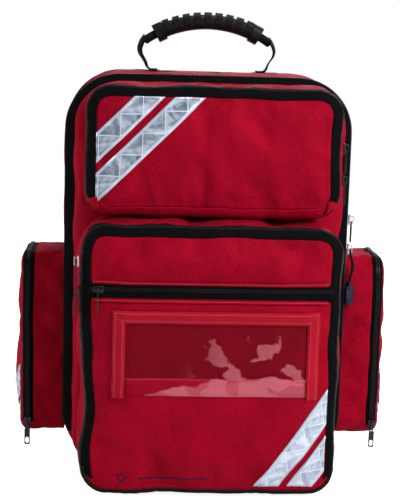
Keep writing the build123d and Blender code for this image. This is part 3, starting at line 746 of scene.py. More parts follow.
def make_blocks():
    """The back pads, the pouches inside, the lid's mesh pocket and the front pocket's liner."""
    pad_low, pad_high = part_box("back_pads")
    pouch_low, pouch_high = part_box("inner_pouches")
    mesh_low, mesh_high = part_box("lid_mesh_pocket")
    liner_low, liner_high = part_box("front_pocket_liner")
    blocks = {}
    for name, sizes in PADS.items():
        blocks[f"pad_{name}"] = soft_block(
            f"pad_{name}", sizes, pad_high[1] - pad_low[1] - 2 * MM,
            lambda middle: lambda a, b, d: (middle + a, pad_low[1] + d, b), 8 * MM, 6 * MM,
        )
    for name, sizes in POUCHES.items():
        blocks[f"pouch_{name}"] = soft_block(
            f"pouch_{name}", sizes, pouch_high[1] - pouch_low[1] - 6 * MM,
            lambda middle: lambda a, b, d: (middle + a, pouch_high[1] - d, b), 14 * MM, 10 * MM,
        )
    for name, low, high in (("mesh_pocket", mesh_low, mesh_high), ("liner", liner_low, liner_high)):
        sizes = [size / MM for size in (0, high[0] - low[0], low[2], high[2], 14 * MM)]
        blocks[name] = soft_block(
            name, sizes, (high[1] - low[1]) * 0.7,
            lambda middle, front=low[1]: lambda a, b, d: (middle + a, front + d, b), 3 * MM, 10 * MM,
        )
    return blocks


def make_cases():
    cases = {}
    rear_depths = [0, TAPE / 2, TAPE] + even_steps([TAPE, BACK_Y - SPLIT_Y - 4 * MM, BACK_Y - SPLIT_Y])[1:]
    rear_levels = [(d, 0, 0, 0) for d in rear_depths[:-1]] + [(rear_depths[-1], 3 * MM, 3 * MM, 2 * MM)]
    cases["rear"] = Case(
        "rear_case", 2 * SHELL_X, 0, SHELL_TOP, SHELL_RADIUS, rear_place, rear_levels,
        main_region(TAPE - 1e-6, FIXED_TAPE), 9 * MM,
    )
    lid_depth = SPLIT_Y - 0.3 * MM - LID_Y
    side_step, top_step = SHELL_X - LID_HIGH[0], SHELL_TOP - LID_HIGH[2]
    lid_levels = [(0, 0, 0, 0), (3 * MM, 0.1, 0.1, 0), (5.5 * MM, 0.42, 0.42, 0), (7 * MM, 1, 1, 0)]
    lid_levels = [(d, s * side_step, t * top_step, 0) for d, s, t, _ in lid_levels]
    for d in even_steps([14 * MM, lid_depth - 8 * MM, lid_depth - 3 * MM, lid_depth]):
        inset = edge_inset(lid_depth - d, 12 * MM)
        lid_levels.append((d, side_step + inset, top_step + inset, inset))
    cases["lid"] = Case(
        "lid_case", 2 * SHELL_X, 0, SHELL_TOP, SHELL_RADIUS, lid_place, lid_levels,
        main_region(5.6 * MM, FLAP_TAPE), 9 * MM,
    )
    for name, low, high in (("upper", UPPER_LOW, UPPER_HIGH), ("lower", LOWER_LOW, LOWER_HIGH)):
        levels, split = pocket_levels(LID_Y - low[1], POCKET_RIM, EDGE_RADIUS, POCKET_FLAP)
        cases[name] = Case(
            f"{name}_case", high[0] - low[0], low[2], high[2], POCKET_RADIUS, front_place, levels,
            pocket_region(POCKET_RIM, 0, FRONT_ZIP_END),
        )
        cases[name].split = split
        cases[name].zip_end = FRONT_ZIP_END
    slouch(cases["lower"])
    for name, side in (("side_left", -1), ("side_right", 1)):
        levels, split = pocket_levels(SIDE_HIGH[0] - SHELL_X, SIDE_RIM, 10 * MM, SIDE_FLAP)
        cases[name] = Case(
            f"{name}_case", SIDE_HIGH[1] - SIDE_LOW[1], SIDE_LOW[2], SIDE_HIGH[2] - SIDE_SLUMP, SIDE_RADIUS,
            side_place(side), levels, pocket_region(SIDE_RIM, SIDE_FLAP, SIDE_ZIP_END), 6 * MM,
        )
        cases[name].split = split
        cases[name].zip_end = SIDE_ZIP_END
    return cases


def slouch(case):
    """Let the lower pocket's left side wave inward where it has slumped."""
    for vertex, (a, b, d) in zip(case.piece.data.vertices, case.local):
        if a < 0:
            wave = math.exp(-(((b - 0.118) / 0.045) ** 2)) + 0.5 * math.exp(-(((b - 0.02) / 0.03) ** 2))
            vertex.co.x += 7 * MM * wave * (-2 * a / case.width) ** 3 * min(1, d / case.depth)


FILLINGS = {    # pressure, spare cloth, and the furthest that a point may move
    "rear": (0.9, 0.012, 3 * MM),
    "lid": (1.0, 0.015, 5 * MM),
    "upper": (2.2, 0.03, 9 * MM),
    "lower": (2.2, 0.03, 10 * MM),
    "side_left": (2.0, 0.02, 8 * MM),
    "side_right": (2.0, 0.02, 8 * MM),
}


def settle_cases(cases):
    """Hold each case at its seams and zips, rumple it, and let the pressure fill it."""
    last = {name: len(case.loops) - 1 for name, case in cases.items()}
    cases["rear"].pins([0, 1, 2, last["rear"], last["rear"] - 1], [])
    cases["rear"].rumple(1.5 * MM, 60 * MM, 3.1, [0, 1, 2, last["rear"], last["rear"] - 1])
    cases["lid"].pins([0, 1, 2, 3], [last["lid"]])
    cases["lid"].rumple(1.5 * MM, 60 * MM, 5.3, [0, 1, 2, 3])
    for name, seed in (("upper", 7.7), ("lower", 9.1), ("side_left", 11.9), ("side_right", 14.2)):
        split = cases[name].split
        cases[name].rumple((1.2 if "side" in name else 2.2) * MM, 45 * MM, seed, [0])
        cases[name].pins([0], [split - 1, split, split + 1, last[name] - 1, last[name]], 0.75)
    simulate([(cases[name], *filling) for name, filling in FILLINGS.items()])
    for name, case in cases.items():
        case.ruffle(1.3 * MM, len(name) * 1.7)
    pinch_front_zip(cases["lower"])
    for case in cases.values():
        case.finish()


def pinch_front_zip(case):
    """Hold the panel to its flat depth along the stiff front zip."""
    low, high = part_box("front_zip")
    middle = (low[2] + high[2]) / 2
    front = LID_Y - case.depth
    near = np.exp(-(((case.settled[:, 2] - middle) / (15 * MM)) ** 2))
    ahead = np.minimum(case.settled[:, 1] - front, 0)
    case.settled[:, 1] -= ahead * near
    case.keep_settled()


def settle_blocks(blocks):
    jobs = []
    for name, block in blocks.items():
        block.pins([0], [])
        thin = name in ("mesh_pocket", "liner")
        if not thin:
            block.rumple(1.0 * MM, 50 * MM, len(name) * 2.3, [0])
        jobs.append((block, 0.8 if thin else 2.0, 0.01, (2 if thin or "pad" in name else 5) * MM))
    simulate(jobs, 12)
    for block in blocks.values():
        block.finish()


# Small pieces that repeat -------------------------------------------------------------------

def spaced_path(path, step):
    """A path of (point, normal) pairs again, with pairs a step apart."""
    points = np.array([p[:] for p, _ in path])
    normals = np.array([n[:] for _, n in path])
    along = np.concatenate([[0], np.cumsum(np.linalg.norm(np.diff(points, axis=0), axis=1))])
    count = max(2, int(round(along[-1] / step)) + 1)
    at = np.linspace(0, along[-1], count)
    new_points = np.stack([np.interp(at, along, points[:, k]) for k in range(3)], axis=1)
    new_normals = np.stack([np.interp(at, along, normals[:, k]) for k in range(3)], axis=1)
    new_normals /= np.linalg.norm(new_normals, axis=1, keepdims=True)
    ways = np.gradient(new_points, axis=0)
    ways /= np.maximum(np.linalg.norm(ways, axis=1, keepdims=True), 1e-9)
    return new_points, new_normals, ways


BOX_FACES = [(0, 1, 3, 2), (4, 6, 7, 5), (0, 4, 5, 1), (2, 3, 7, 6), (0, 2, 6, 4), (1, 5, 7, 3)]


def bars_along(name, path, step, size, rise, shift, material, start=0.0):
    """A row of small bars on a path: coil teeth or stitches. size is along, across and high."""
    points, normals, ways = spaced_path(path, step)
    verts, faces = [], []
    for point, normal, way in zip(points, normals, ways):
        across = np.cross(normal, way)
        centre = point + normal * rise + across * shift + way * start
        base = len(verts)
        for i in (-1, 1):
            for j in (-1, 1):
                for k in (-1, 1):
                    pinch = 0.72 if k > 0 else 1.0
                    verts.append(
                        centre + way * i * size[0] / 2 * pinch + across * j * size[1] / 2 * pinch
                        + normal * k * size[2] / 2
                    )
        faces += [tuple(base + corner for corner in face) for face in BOX_FACES]
    return mesh_object(name, verts, faces, [material], smooth=False)


def binding(name, points, radius, body, *nodes, closed=False):
    """A round black binding or piping through points."""
    data = bpy.data.curves.new(name, "CURVE")
    data.dimensions = "3D"
    data.bevel_depth = radius
    data.bevel_resolution = 3
    spline = data.splines.new("POLY")
    spline.points.add(len(points) - 1)
    for k, point in enumerate(points):
        spline.points[k].co = (*point, 1)
    spline.use_cyclic_u = closed
    data.materials.append(MATERIALS["webbing_cad"])
    made = bpy.data.objects.new(name, data)
    bpy.context.collection.objects.link(made)
    return settle(made, body, "black_webbing", *nodes)


def zip_teeth(name, case, level, low):
    """Both halves of a coil along a level of a case: first the outer half, then the fixed one."""
    path = case.level_path(level, low)
    pitch = 2.2 * MM
    size = (1.5 * MM, 2.6 * MM, 1.5 * MM)
    return [
        bars_along(f"{name}_{half}", path, pitch, size, 0.8 * MM, shift * 1.35 * MM, "coil", start * pitch)
        for half, shift, start in (("one", 1, 0.0), ("two", -1, 0.5))
    ]


def panel_strip(name, case, ends, width, lift, material, across_count=4, thickness=0.0, ripple=0.0,
                seed=0.0):
    """A flat tape laid on a case's panel between two points (a, b), following its surface.

    ends is ((a, b), (a, b)); the tape's ends may be slanted by giving four corners instead."""
    if len(ends) == 2:
        first, second = (Vector(end) for end in ends)
        way = (second - first).normalized()
        side = Vector((-way.y, way.x)) * width / 2
        corners = (first - side, second - side, second + side, first + side)
    else:
        corners = [Vector(corner) for corner in ends]
    long = ((corners[1] + corners[2]) / 2 - (corners[0] + corners[3]) / 2).length
    way = (corners[1] - corners[0]).normalized()
    square = Vector((-way.y, way.x))
    count = max(2, round(long / (4 * MM)))
    points, faces, uvs, grid_uv = [], [], [], []
    for i in range(count + 1):
        for j in range(across_count + 1):
            low = corners[0].lerp(corners[1], i / count)
            high = corners[3].lerp(corners[2], i / count)
            at = low.lerp(high, j / across_count)
            place, normal = case.drop(at.x, at.y)
            wave = ripple * noise.noise(Vector((at.x / 0.02, at.y / 0.02, seed)))
            points.append(place + normal * (lift + wave))
            offset = at - corners[0]
            grid_uv.append((offset.dot(way), abs(offset.dot(square))))
    row = across_count + 1
    for i in range(count):
        for j in range(across_count):
            face = [i * row + j, (i + 1) * row + j, (i + 1) * row + j + 1, i * row + j + 1]
            faces.append(face)
            uvs += [grid_uv[k] for k in face]
    made = mesh_object(name, points, faces, [material], uvs)
    outward = case.drop(corners[0].x, corners[0].y)[1]
    if made.data.polygons[0].normal.dot(outward) < 0:
        made.data.flip_normals()
    if thickness:
        thicken(made, thickness, offset=0)
    return made


def panel_line(case, first, second, step=5 * MM):
    """A straight path on a panel, as (point, normal) pairs."""
    first, second = Vector(first), Vector(second)
    count = max(2, round((second - first).length / step))
    return [case.drop(*first.lerp(second, k / count)) for k in range(count + 1)]


def raised(path, millimetres):
    """A path of (point, normal) pairs, lifted off its surface."""
    return [(point + normal * millimetres * MM, normal) for point, normal in path]


def stitches(name, path, material="thread", pitch=3.4 * MM):
    size = (2.4 * MM, 0.8 * MM, 0.6 * MM)
    return bars_along(name, path, pitch, size, 0.25 * MM, 0.0, material)


def join(name, pieces):
    """Join meshes into the first one."""
    for piece in pieces:
        if piece.modifiers:
            apply_modifiers(piece)
    first = pieces[0]
    with bpy.context.temp_override(active_object=first, selected_editable_objects=pieces, object=first):
        bpy.ops.object.join()
    pieces[0].name = name
    return pieces[0]


# The shell and the pockets ------------------------------------------------------------------

def cloth_piece(case, region, name, body, *nodes, thickness=2.2 * MM):
    """Red cloth with a grey lining inside."""
    piece = case.cut(region, name, ["red", "lining"])
    thicken(piece, thickness, -1.0, 1)
    settle(piece, body, "red_fabric", *nodes)


def tape_piece(case, region, name, body, *nodes):
    piece = case.cut(region, name, ["tape"])
    thicken(piece, 0.9 * MM, -0.6)
    settle(piece, body, "zip_black", *nodes)


def make_shell(cases):
    rear, lid = cases["rear"], cases["lid"]
    cloth_piece(rear, FABRIC, "rear_shell", "pack_body", "rear_gusset", "back_panel", thickness=3.5 * MM)
    tape_piece(rear, FIXED_TAPE, "main_tape_rear", "pack_body", "main_zip_rear")
    cloth_piece(lid, FABRIC, "lid_shell", "main_lid", "lid_gusset", "lid_panel", thickness=3.5 * MM)
    tape_piece(lid, FLAP_TAPE, "main_tape_lid", "main_lid", "main_zip_lid")
    size = (1.5 * MM, 2.2 * MM, 1.5 * MM)
    for case, body, half, way, start in (
        (rear, "pack_body", "rear", 1.2 * MM, 0.0), (lid, "main_lid", "lid", -1.2 * MM, 1.1 * MM),
    ):
        path = [(p + Vector((0, way, 0)), n) for p, n in case.level_path(0, ZIP_END)]
        teeth = bars_along(f"main_teeth_{half}", path, 2.2 * MM, size, 0.8 * MM, 0, "coil", start)
        settle(teeth, body, "zip_black")
    piping = []
    for side, back in zip(rear.loops[-2], rear.loops[-1]):
        place, normal = rear.on_surface((rear.settled[side] + rear.settled[back]) / 2)
        place += normal * 1.8 * MM
        piping.append(Vector((place.x, place.y, max(place.z, 2.6 * MM))))
    binding("back_piping", piping, 2.4 * MM, "pack_body", "rear_piping", closed=True)


# name: the body that moves and the one it hinges on, and the CAD nodes of the gusset, the fixed zip
# half, the flap, the flap's zip half and its reflective tapes
POCKETS = {
    "upper": ("upper_door", "main_lid", "upper_pocket_gusset", "upper_zip_fixed", "upper_flap",
              "upper_zip_flap", "upper_reflective"),
    "lower": ("lower_door", "main_lid", "lower_pocket_gusset", "lower_zip_fixed", "lower_flap",
              "lower_zip_flap", "lower_reflective"),
    "side_left": ("side_door_left", "pack_body", "side_pocket_gussets", "side_zip_fixed", "side_flap_left",
                  "side_zip_left", "side_reflective_left"),
    "side_right": ("side_door_right", "pack_body", "side_pocket_gussets", "side_zip_fixed",
                   "side_flap_right", "side_zip_right", "side_reflective_right"),
}


def make_pocket(case, name):
    door, fixed, gusset, fixed_zip, flap, flap_zip, _ = POCKETS[name]
    cloth_piece(case, FIXED, f"{name}_gusset", fixed, gusset)
    tape_piece(case, FIXED_TAPE, f"{name}_tape_fixed", fixed, fixed_zip)
    cloth_piece(case, FABRIC, f"{name}_door", door, flap)
    tape_piece(case, FLAP_TAPE, f"{name}_tape_door", door, flap_zip)
    halves = zip_teeth(f"{name}_teeth", case, case.split, case.base + case.zip_end)
    halves.sort(key=lambda half: coordinates_of(half.data).mean(axis=0) @ case.outward())
    for half, body in zip(halves, (fixed, door)):
        settle(half, body, "zip_black")


def pocket_back(case, name, body):
    """The sheet that closes a pocket behind, where its corners reach past the lid's."""
    slack = 1 * MM
    a, b = rounded_grid(case.us, case.vs, case.width - slack, case.top - case.base - slack, case.radius)
    a, b = a.ravel(), (b + (case.base + case.top) / 2).ravel()
    points = case.to_frame(np.stack([a, b, np.zeros(a.size)], axis=1))
    across, up = len(case.us), len(case.vs)
    faces = [
        [j * across + i, j * across + i + 1, (j + 1) * across + i + 1, (j + 1) * across + i]
        for j in range(up - 1) for i in range(across - 1)
    ]
    uvs = [(a[k], b[k]) for face in faces for k in face]
    sheet = mesh_object(name, points, faces, ["red", "lining"], uvs)
    thicken(sheet, 1.2 * MM, 0.0)
    settle(sheet, body, "red_fabric")


# Details on the front -----------------------------------------------------------------------

def corner_tape(name, case, corner, slope, distance, body, inset, top_inset, material):
    """A reflective tape across a corner of a panel, cut off along the panel's two edges."""
    side_a, side_b = corner
    edge_a = side_a * (case.width / 2 - inset)
    edge_b = (case.top - top_inset) if side_b > 0 else (case.base + top_inset)
    box_a = side_a * case.width / 2
    box_b = case.top if side_b > 0 else case.base
    angle = math.radians(slope)
    corners = []
    for away in (distance - TAPE_SIZE / 2, distance + TAPE_SIZE / 2):
        # On the line so far from the corner: where it meets the side edge and the level edge
        along_b = (away - abs(box_a - edge_a) * math.sin(angle)) / math.cos(angle)
        along_a = (away - abs(box_b - edge_b) * math.cos(angle)) / math.sin(angle)
        corners.append(((edge_a, box_b - side_b * along_b), (box_a - side_a * along_a, edge_b)))
    quad = (corners[0][0], corners[0][1], corners[1][1], corners[1][0])
    tape = panel_strip(name, case, quad, TAPE_SIZE, 0.7 * MM, material, 6, 0.5 * MM)
    settle(tape, body, "reflective")
    rows = []
    for away, inward in ((corners[0], 1), (corners[1], -1)):
        shift = Vector((-side_a * math.sin(angle), -side_b * math.cos(angle))) * 1.6 * MM * inward
        first, second = Vector(away[0]) + shift, Vector(away[1]) + shift
        trim = (second - first).normalized() * 3 * MM
        path = panel_line(case, first + trim, second - trim)
        rows.append(stitches(name + "_stitch", raised(path, 0.9), "thread_white"))
    settle(join(name + "_stitches", rows), body, "reflective")
    return tape


def front_pocket_zip(case):
    low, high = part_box("front_zip")
    middle = (low[2] + high[2]) / 2
    left, right = low[0], high[0]
    above, below = 6 * MM, -10.5 * MM       # the hems' edges, between which the tape shows
    hem_width = 4.6 * MM
    centre = middle + (above + below) / 2
    ends = ((left, centre), (right, centre))
    tape = panel_strip("front_zip_tape", case, ends, above - below + 3 * MM, 0.5 * MM, "tape", 6, 0.6 * MM)
    settle(tape, "lower_door", "zip_black", "front_zip")
    path = panel_line(case, (left + 2 * MM, middle), (right - 2 * MM, middle))
    size = (1.4 * MM, 2.4 * MM, 1.3 * MM)
    teeth = [
        bars_along("front_zip_teeth", path, 2.1 * MM, size, 1.3 * MM, shift * 1.25 * MM, "coil", start * MM)
        for shift, start in ((1, 0.0), (-1, 1.05))
    ]
    settle(join("front_zip_teeth", teeth), "lower_door", "zip_black")
    for name, height in (("above", above + 2.6 * MM), ("below", below - 2.6 * MM)):
        line = panel_line(case, (left + 6 * MM, middle + height), (right - 8 * MM, middle + height))
        row = stitches(f"front_zip_stitches_{name}", raised(line, 1.4))
        settle(row, "lower_door", "red_fabric")
    for name, height in (("upper", above + hem_width / 2), ("lower", below - hem_width / 2)):
        ends = ((left + 5 * MM, middle + height), (right - 7 * MM, middle + height))
        hem = panel_strip(f"front_zip_hem_{name}", case, ends, hem_width, 0.9 * MM, "red", 3, 1.1 * MM)
        settle(hem, "lower_door", "red_fabric")


def label_window(case):
    """The clear window, its webbing frame on three sides, the cloth that shows through it, and a darker sheet
    behind it that is painted shade.
    """
    left, right, bottom, top = LABEL_LOW[0], LABEL_HIGH[0], LABEL_LOW[2], LABEL_HIGH[2]
    band = 14 * MM
    half = band / 2
    mitres = [
        ((left, top), (right, top), (right - band, top - band), (left + band, top - band)),
        ((left, bottom), (left, top), (left + band, top - band), (left + band, bottom)),
        ((right - band, bottom), (right - band, top - band), (right, top), (right, bottom)),
    ]
    sides = [
        panel_strip(f"label_frame_{k}", case, corners, band, 1.9 * MM, "red_webbing", 3, 1.5 * MM)
        for k, corners in enumerate(mitres)
    ]
    settle(join("label_frame", sides), "lower_door", "red_fabric", "id_frame")
    rows = []
    for inner in (3 * MM, band - 3 * MM):
        way = ((left + inner, bottom + 2 * MM), (left + inner, top - inner),
               (right - inner, top - inner), (right - inner, bottom + 2 * MM))
        for first, second in zip(way, way[1:]):
            rows.append(stitches("label_stitch", raised(panel_line(case, first, second), 2.6)))
    settle(join("label_stitches", rows), "lower_door", "red_fabric")

    def inside(low):
        """The window's corners, from so far above its lower edge."""
        return ((left + half, bottom + low), (right - half, bottom + low), (right - half, top - half),
                (left + half, top - half))

    gap = 4 * MM
    vinyl = panel_strip("label_vinyl", case, inside(gap), top - bottom, 1.3 * MM, "vinyl", 24, 0.0, 0.7 * MM,
                        2.5)
    thicken(vinyl, 0.4 * MM, 0)
    settle(vinyl, "lower_door", "clear_vinyl", "id_window")
    # A darker red sheet behind the vinyl: painted shade, for the window's dimmer look.
    painted_shade_sheet = panel_strip("label_painted_shade_sheet", case, inside(6 * MM), top - bottom, 0.3 * MM, "red_painted_shade", 20,
                          0.5 * MM)
    settle(painted_shade_sheet, "lower_door", "red_fabric")
    band_ends = ((left + band, bottom + 15 * MM), (right - band, bottom + 15 * MM))
    seam = panel_strip("label_back_band", case, band_ends, 21 * MM, 0.8 * MM, "red", 4, 0.5 * MM)
    settle(seam, "lower_door", "red_fabric")
    line = panel_line(case, (left + band, bottom + 23.5 * MM), (right - band, bottom + 23.5 * MM))
    settle(stitches("label_band_stitches", raised(line, 1.0)), "lower_door", "red_fabric")


def printed_marks(case):
    """A plain printed line with a small diamond at its start: generic trim, no lettering."""
    def stroke(name, first, second, width):
        ends = [[size * MM for size in end] for end in (first, second)]
        return panel_strip(name, case, ends, width * MM, 0.35 * MM, "print", 1)

    settle(stroke("printed_line", (-82, 25), (3, 25), 1.6), "lower_door", "red_fabric")
    points = [(-107, 26), (-101, 32), (-95, 26), (-101, 20), (-107, 26)]
    sides = [stroke("printed_diamond", *ends, 1.5) for ends in zip(points, points[1:])]
    settle(join("printed_diamond", sides), "lower_door", "red_fabric")


# Back, straps, handle, cord and folds --------------------------------------------------------

# The loop of cord through the lower main slider: the route in part.py, from the slider's pin
CORD_AT = Vector((0.1819, 0.0075, 0.282))
CORD_ROUTE = [
    (0, 0.0004, 0), (0, 0.0046, 0), (0.0006, 0.0050, -0.007), (0.0060, 0.0060, -0.020),
    (0.0015, 0.0030, -0.037), (0.0015, 0.0026, -0.050), (0.0015, -0.0026, -0.050),
    (0.0015, -0.0030, -0.037), (0.0060, -0.0060, -0.020), (0.0006, -0.0050, -0.007),
    (0, -0.0046, 0), (0, -0.0004, 0),
]
CORD_DIAMETER = 2.2 * MM


def ring_mesh(name, rings, material):
    """A closed solid from rings of equal length, capped at both ends."""
    count = len(rings[0])
    faces = [tuple(range(count))[::-1], tuple(range((len(rings) - 1) * count, len(rings) * count))]
    for row in range(len(rings) - 1):
        for k in range(count):
            nxt = (k + 1) % count
            faces.append((row * count + k, row * count + nxt, (row + 1) * count + nxt, (row + 1) * count + k))
    return mesh_object(name, [point for ring in rings for point in ring], faces, [material])


def make_tag():
    """The moulded tag on the cord, turned a little to the front, with a raised rim and a neck."""
    low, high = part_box("main_pull_tag")
    middle = (Vector(low) + Vector(high)) / 2
    thick, wide, tall = (b - a for a, b in zip(low, high))
    turn = math.radians(60)
    across, out = Vector((math.sin(turn), math.cos(turn), 0)), Vector((math.cos(turn), -math.sin(turn), 0))
    neck = 5 * MM
    plate = tall - neck
    rings = []
    for share, inset in ((-0.30, 2.5), (-0.40, 2.1), (-0.50, 1.7), (-0.48, 0.7), (-0.30, 0.0),
                         (0.30, 0.0), (0.48, 0.7), (0.50, 1.7), (0.40, 2.1), (0.30, 2.5)):
        corner = max(3 * MM - inset * MM, 0.8 * MM)
        half_a, half_b = wide / 2 - inset * MM - corner, plate / 2 - inset * MM - corner
        ring = []
        for quarter, (a, b) in enumerate(((1, 1), (-1, 1), (-1, -1), (1, -1))):
            for k in range(6):
                angle = (quarter + k / 5) * math.pi / 2
                flat = across * (a * half_a + corner * math.cos(angle)) + out * (share * thick)
                ring.append(middle + flat + Vector((0, 0, b * half_b + corner * math.sin(angle) - neck / 2)))
        rings.append(ring)
    body = ring_mesh("main_pull_tag_body", rings, "navy")
    rings = []
    for rise, radius in ((-9, 2.6), (-8, 3.4), (-3, 4.2), (-0.6, 4.2), (0.6, 3.6), (1.2, 2.4)):
        rings.append([
            Vector((middle.x, middle.y, high[2] + rise * MM))
            + Vector((math.cos(angle), math.sin(angle), 0)) * radius * MM
            for angle in (2 * math.pi * k / 20 for k in range(20))
        ])
    tag = join("main_tag", [body, ring_mesh("main_tag_neck", rings, "navy")])
    return settle(tag, "zip_pull_main_2", "navy_plastic", "main_pull_tag")


def make_cord():
    data = bpy.data.curves.new("pull_cord", "CURVE")
    data.dimensions = "3D"
    data.bevel_depth = CORD_DIAMETER / 2
    data.bevel_resolution = 4
    data.resolution_u = 8
    spline = data.splines.new("NURBS")
    spline.points.add(len(CORD_ROUTE) - 1)
    for point, offset in zip(spline.points, CORD_ROUTE):
        point.co = (*(CORD_AT + Vector(offset)), 1)
    spline.order_u = 3
    spline.use_endpoint_u = True
    data.materials.append(MATERIALS["cord"])
    cord = bpy.data.objects.new("pull_cord", data)
    bpy.context.collection.objects.link(cord)
    settle(cord, "zip_pull_main_2", "black_webbing", "main_pull_cord")
    tag = make_tag()


def quilt(block, heights, depth=3.5 * MM, width=3.5 * MM):
    """Sew level channels across a settled, subdivided pad."""
    outward = block.outward()
    start = Vector(block.to_frame(np.zeros((1, 3)))[0])
    for vertex in block.piece.data.vertices:
        rise = (vertex.co - start).dot(outward)
        share = max(0.0, min(1.0, rise / block.depth))
        for height in heights:
            vertex.co -= outward * depth * share * math.exp(-(((vertex.co.z - height) / width) ** 2))


def edge_points(case, level):
    return [Vector(point) for point in case.settled[case.loops[level]]]


def make_back(blocks):
    for name in PADS:
        block = blocks[f"pad_{name}"]
        low, high = block.base, block.top
        count = 3 if name == "lumbar" else 4
        quilt(block, [low + (high - low) * k / count for k in range(1, count)])
        pad = block.cut(FABRIC, f"back_pad_{name}", ["mesh"])
        settle(pad, "pack_body", "black_mesh", "back_pads")
        rim = [p + Vector((0, 1.6 * MM, 0)) for p in edge_points(block, 0)]
        binding(f"back_pad_binding_{name}", rim, 1.7 * MM, "pack_body", closed=True)


def make_insides(blocks):
    for name in POUCHES:
        block = blocks[f"pouch_{name}"]
        pouch = block.cut(FABRIC, f"inner_pouch_{name}", ["red"])
        settle(pouch, "pack_body", "red_fabric", "inner_pouches")
        height = block.top - 30 * MM
        half = block.width / 2 - 14 * MM
        line = [block.drop(-half + 2 * half * k / 30, height) for k in range(31)]
        parts = [
            bars_along(f"pouch_{look}_{name}", line, 2.2 * MM, [x * MM for x in size], rise * MM, 0, look)
            for look, size, rise in (("tape", (2.2, 12, 1.0), 0.4), ("coil", (1.5, 4.6, 1.5), 1.2))
        ]
        settle(join(f"pouch_zip_{name}", parts), "pack_body", "zip_black")
    bag = blocks["mesh_pocket"]
    settle(bag.cut(FABRIC, "lid_mesh_bag", ["mesh"]), "main_lid", "black_mesh", "lid_mesh_pocket")
    binding("mesh_pocket_binding", edge_points(bag, len(bag.loops) - 1), 1.4 * MM, "main_lid", closed=True)
    liner = blocks["liner"].cut(FABRIC, "front_pocket_bag", ["lining"])
    settle(liner, "lower_door", "lining", "front_pocket_liner")


def rounded_line(points, rounds=3):
    """Cut a polyline's corners, the ends staying where they are."""
    points = [Vector(p) for p in points]
    for _ in range(rounds):
        cut = [points[0]]
        for one, two in zip(points[:-1], points[1:]):
            cut += [one.lerp(two, 0.25), one.lerp(two, 0.75)]
        points = cut + [points[-1]]
    return points


def resampled(points, step):
    array = np.array([p[:] for p in points])
    along = np.concatenate([[0], np.cumsum(np.linalg.norm(np.diff(array, axis=0), axis=1))])
    count = max(2, round(along[-1] / step)) + 1
    at = np.linspace(0, along[-1], count)
    return [Vector([np.interp(x, along, array[:, k]) for k in range(3)]) for x in at], at


def heading(line, k):
    """The way that a line of points goes at point k."""
    return (line[min(k + 1, len(line) - 1)] - line[max(k - 1, 0)]).normalized()


def ribbon(name, points, wides, section, material, step=6 * MM):
    """Sweep a closed section along points. wides gives the width's direction at the start and the
    end, and section is a list of (across, out) offsets."""
    line, at = resampled(points, step)
    count = len(section)
    verts, faces, uvs = [], [], []
    around = [0.0]
    for (a, b), (c, d) in zip(section, section[1:] + section[:1]):
        around.append(around[-1] + math.hypot(c - a, d - b))
    for k, point in enumerate(line):
        way = heading(line, k)
        wide = wides[0].lerp(wides[1], k / (len(line) - 1))
        wide = (wide - way * wide.dot(way)).normalized()
        out = wide.cross(way)
        verts += [point + wide * across + out * rise for across, rise in section]
    for k in range(len(line) - 1):
        for j in range(count):
            nxt = (j + 1) % count
            faces.append((k * count + j, k * count + nxt, (k + 1) * count + nxt, (k + 1) * count + j))
            uvs += [(at[k], around[j]), (at[k], around[j + 1])]
            uvs += [(at[k + 1], around[j + 1]), (at[k + 1], around[j])]
    for ring, order in ((0, range(count - 1, -1, -1)), (len(line) - 1, range(count))):
        faces.append([ring * count + j for j in order])
        uvs += [(0, 0)] * count
    return mesh_object(name, verts, faces, [material], uvs)


def padded_section(wide, thick):
    """A padded strap's section: full in the middle, thin at its bound edges."""
    half = wide / 2
    upper = []
    for k in range(11):
        across = -half + wide * k / 10
        share = 1 - abs(across / half) ** 4
        upper.append((across, thick * (0.22 + 0.28 * share)))
    return upper + [(across, -rise) for across, rise in reversed(upper)]


def flat_section(wide, thick):
    half, rim = wide / 2, thick / 2
    return [(-half, -rim), (-half * 0.5, -rim), (0, -rim), (half * 0.5, -rim), (half, -rim),
            (half, rim), (half * 0.5, rim), (0, rim), (-half * 0.5, rim), (-half, rim)]


STRAP_LEAN = math.radians(7)
STRAP_LINE = [(124.5, 448), (152, 456), (188, 428), (200, 340), (182, 236)]
WEBBING_LINE = [(181, 212), (164, 120), (130, 44), (124.6, 36)]


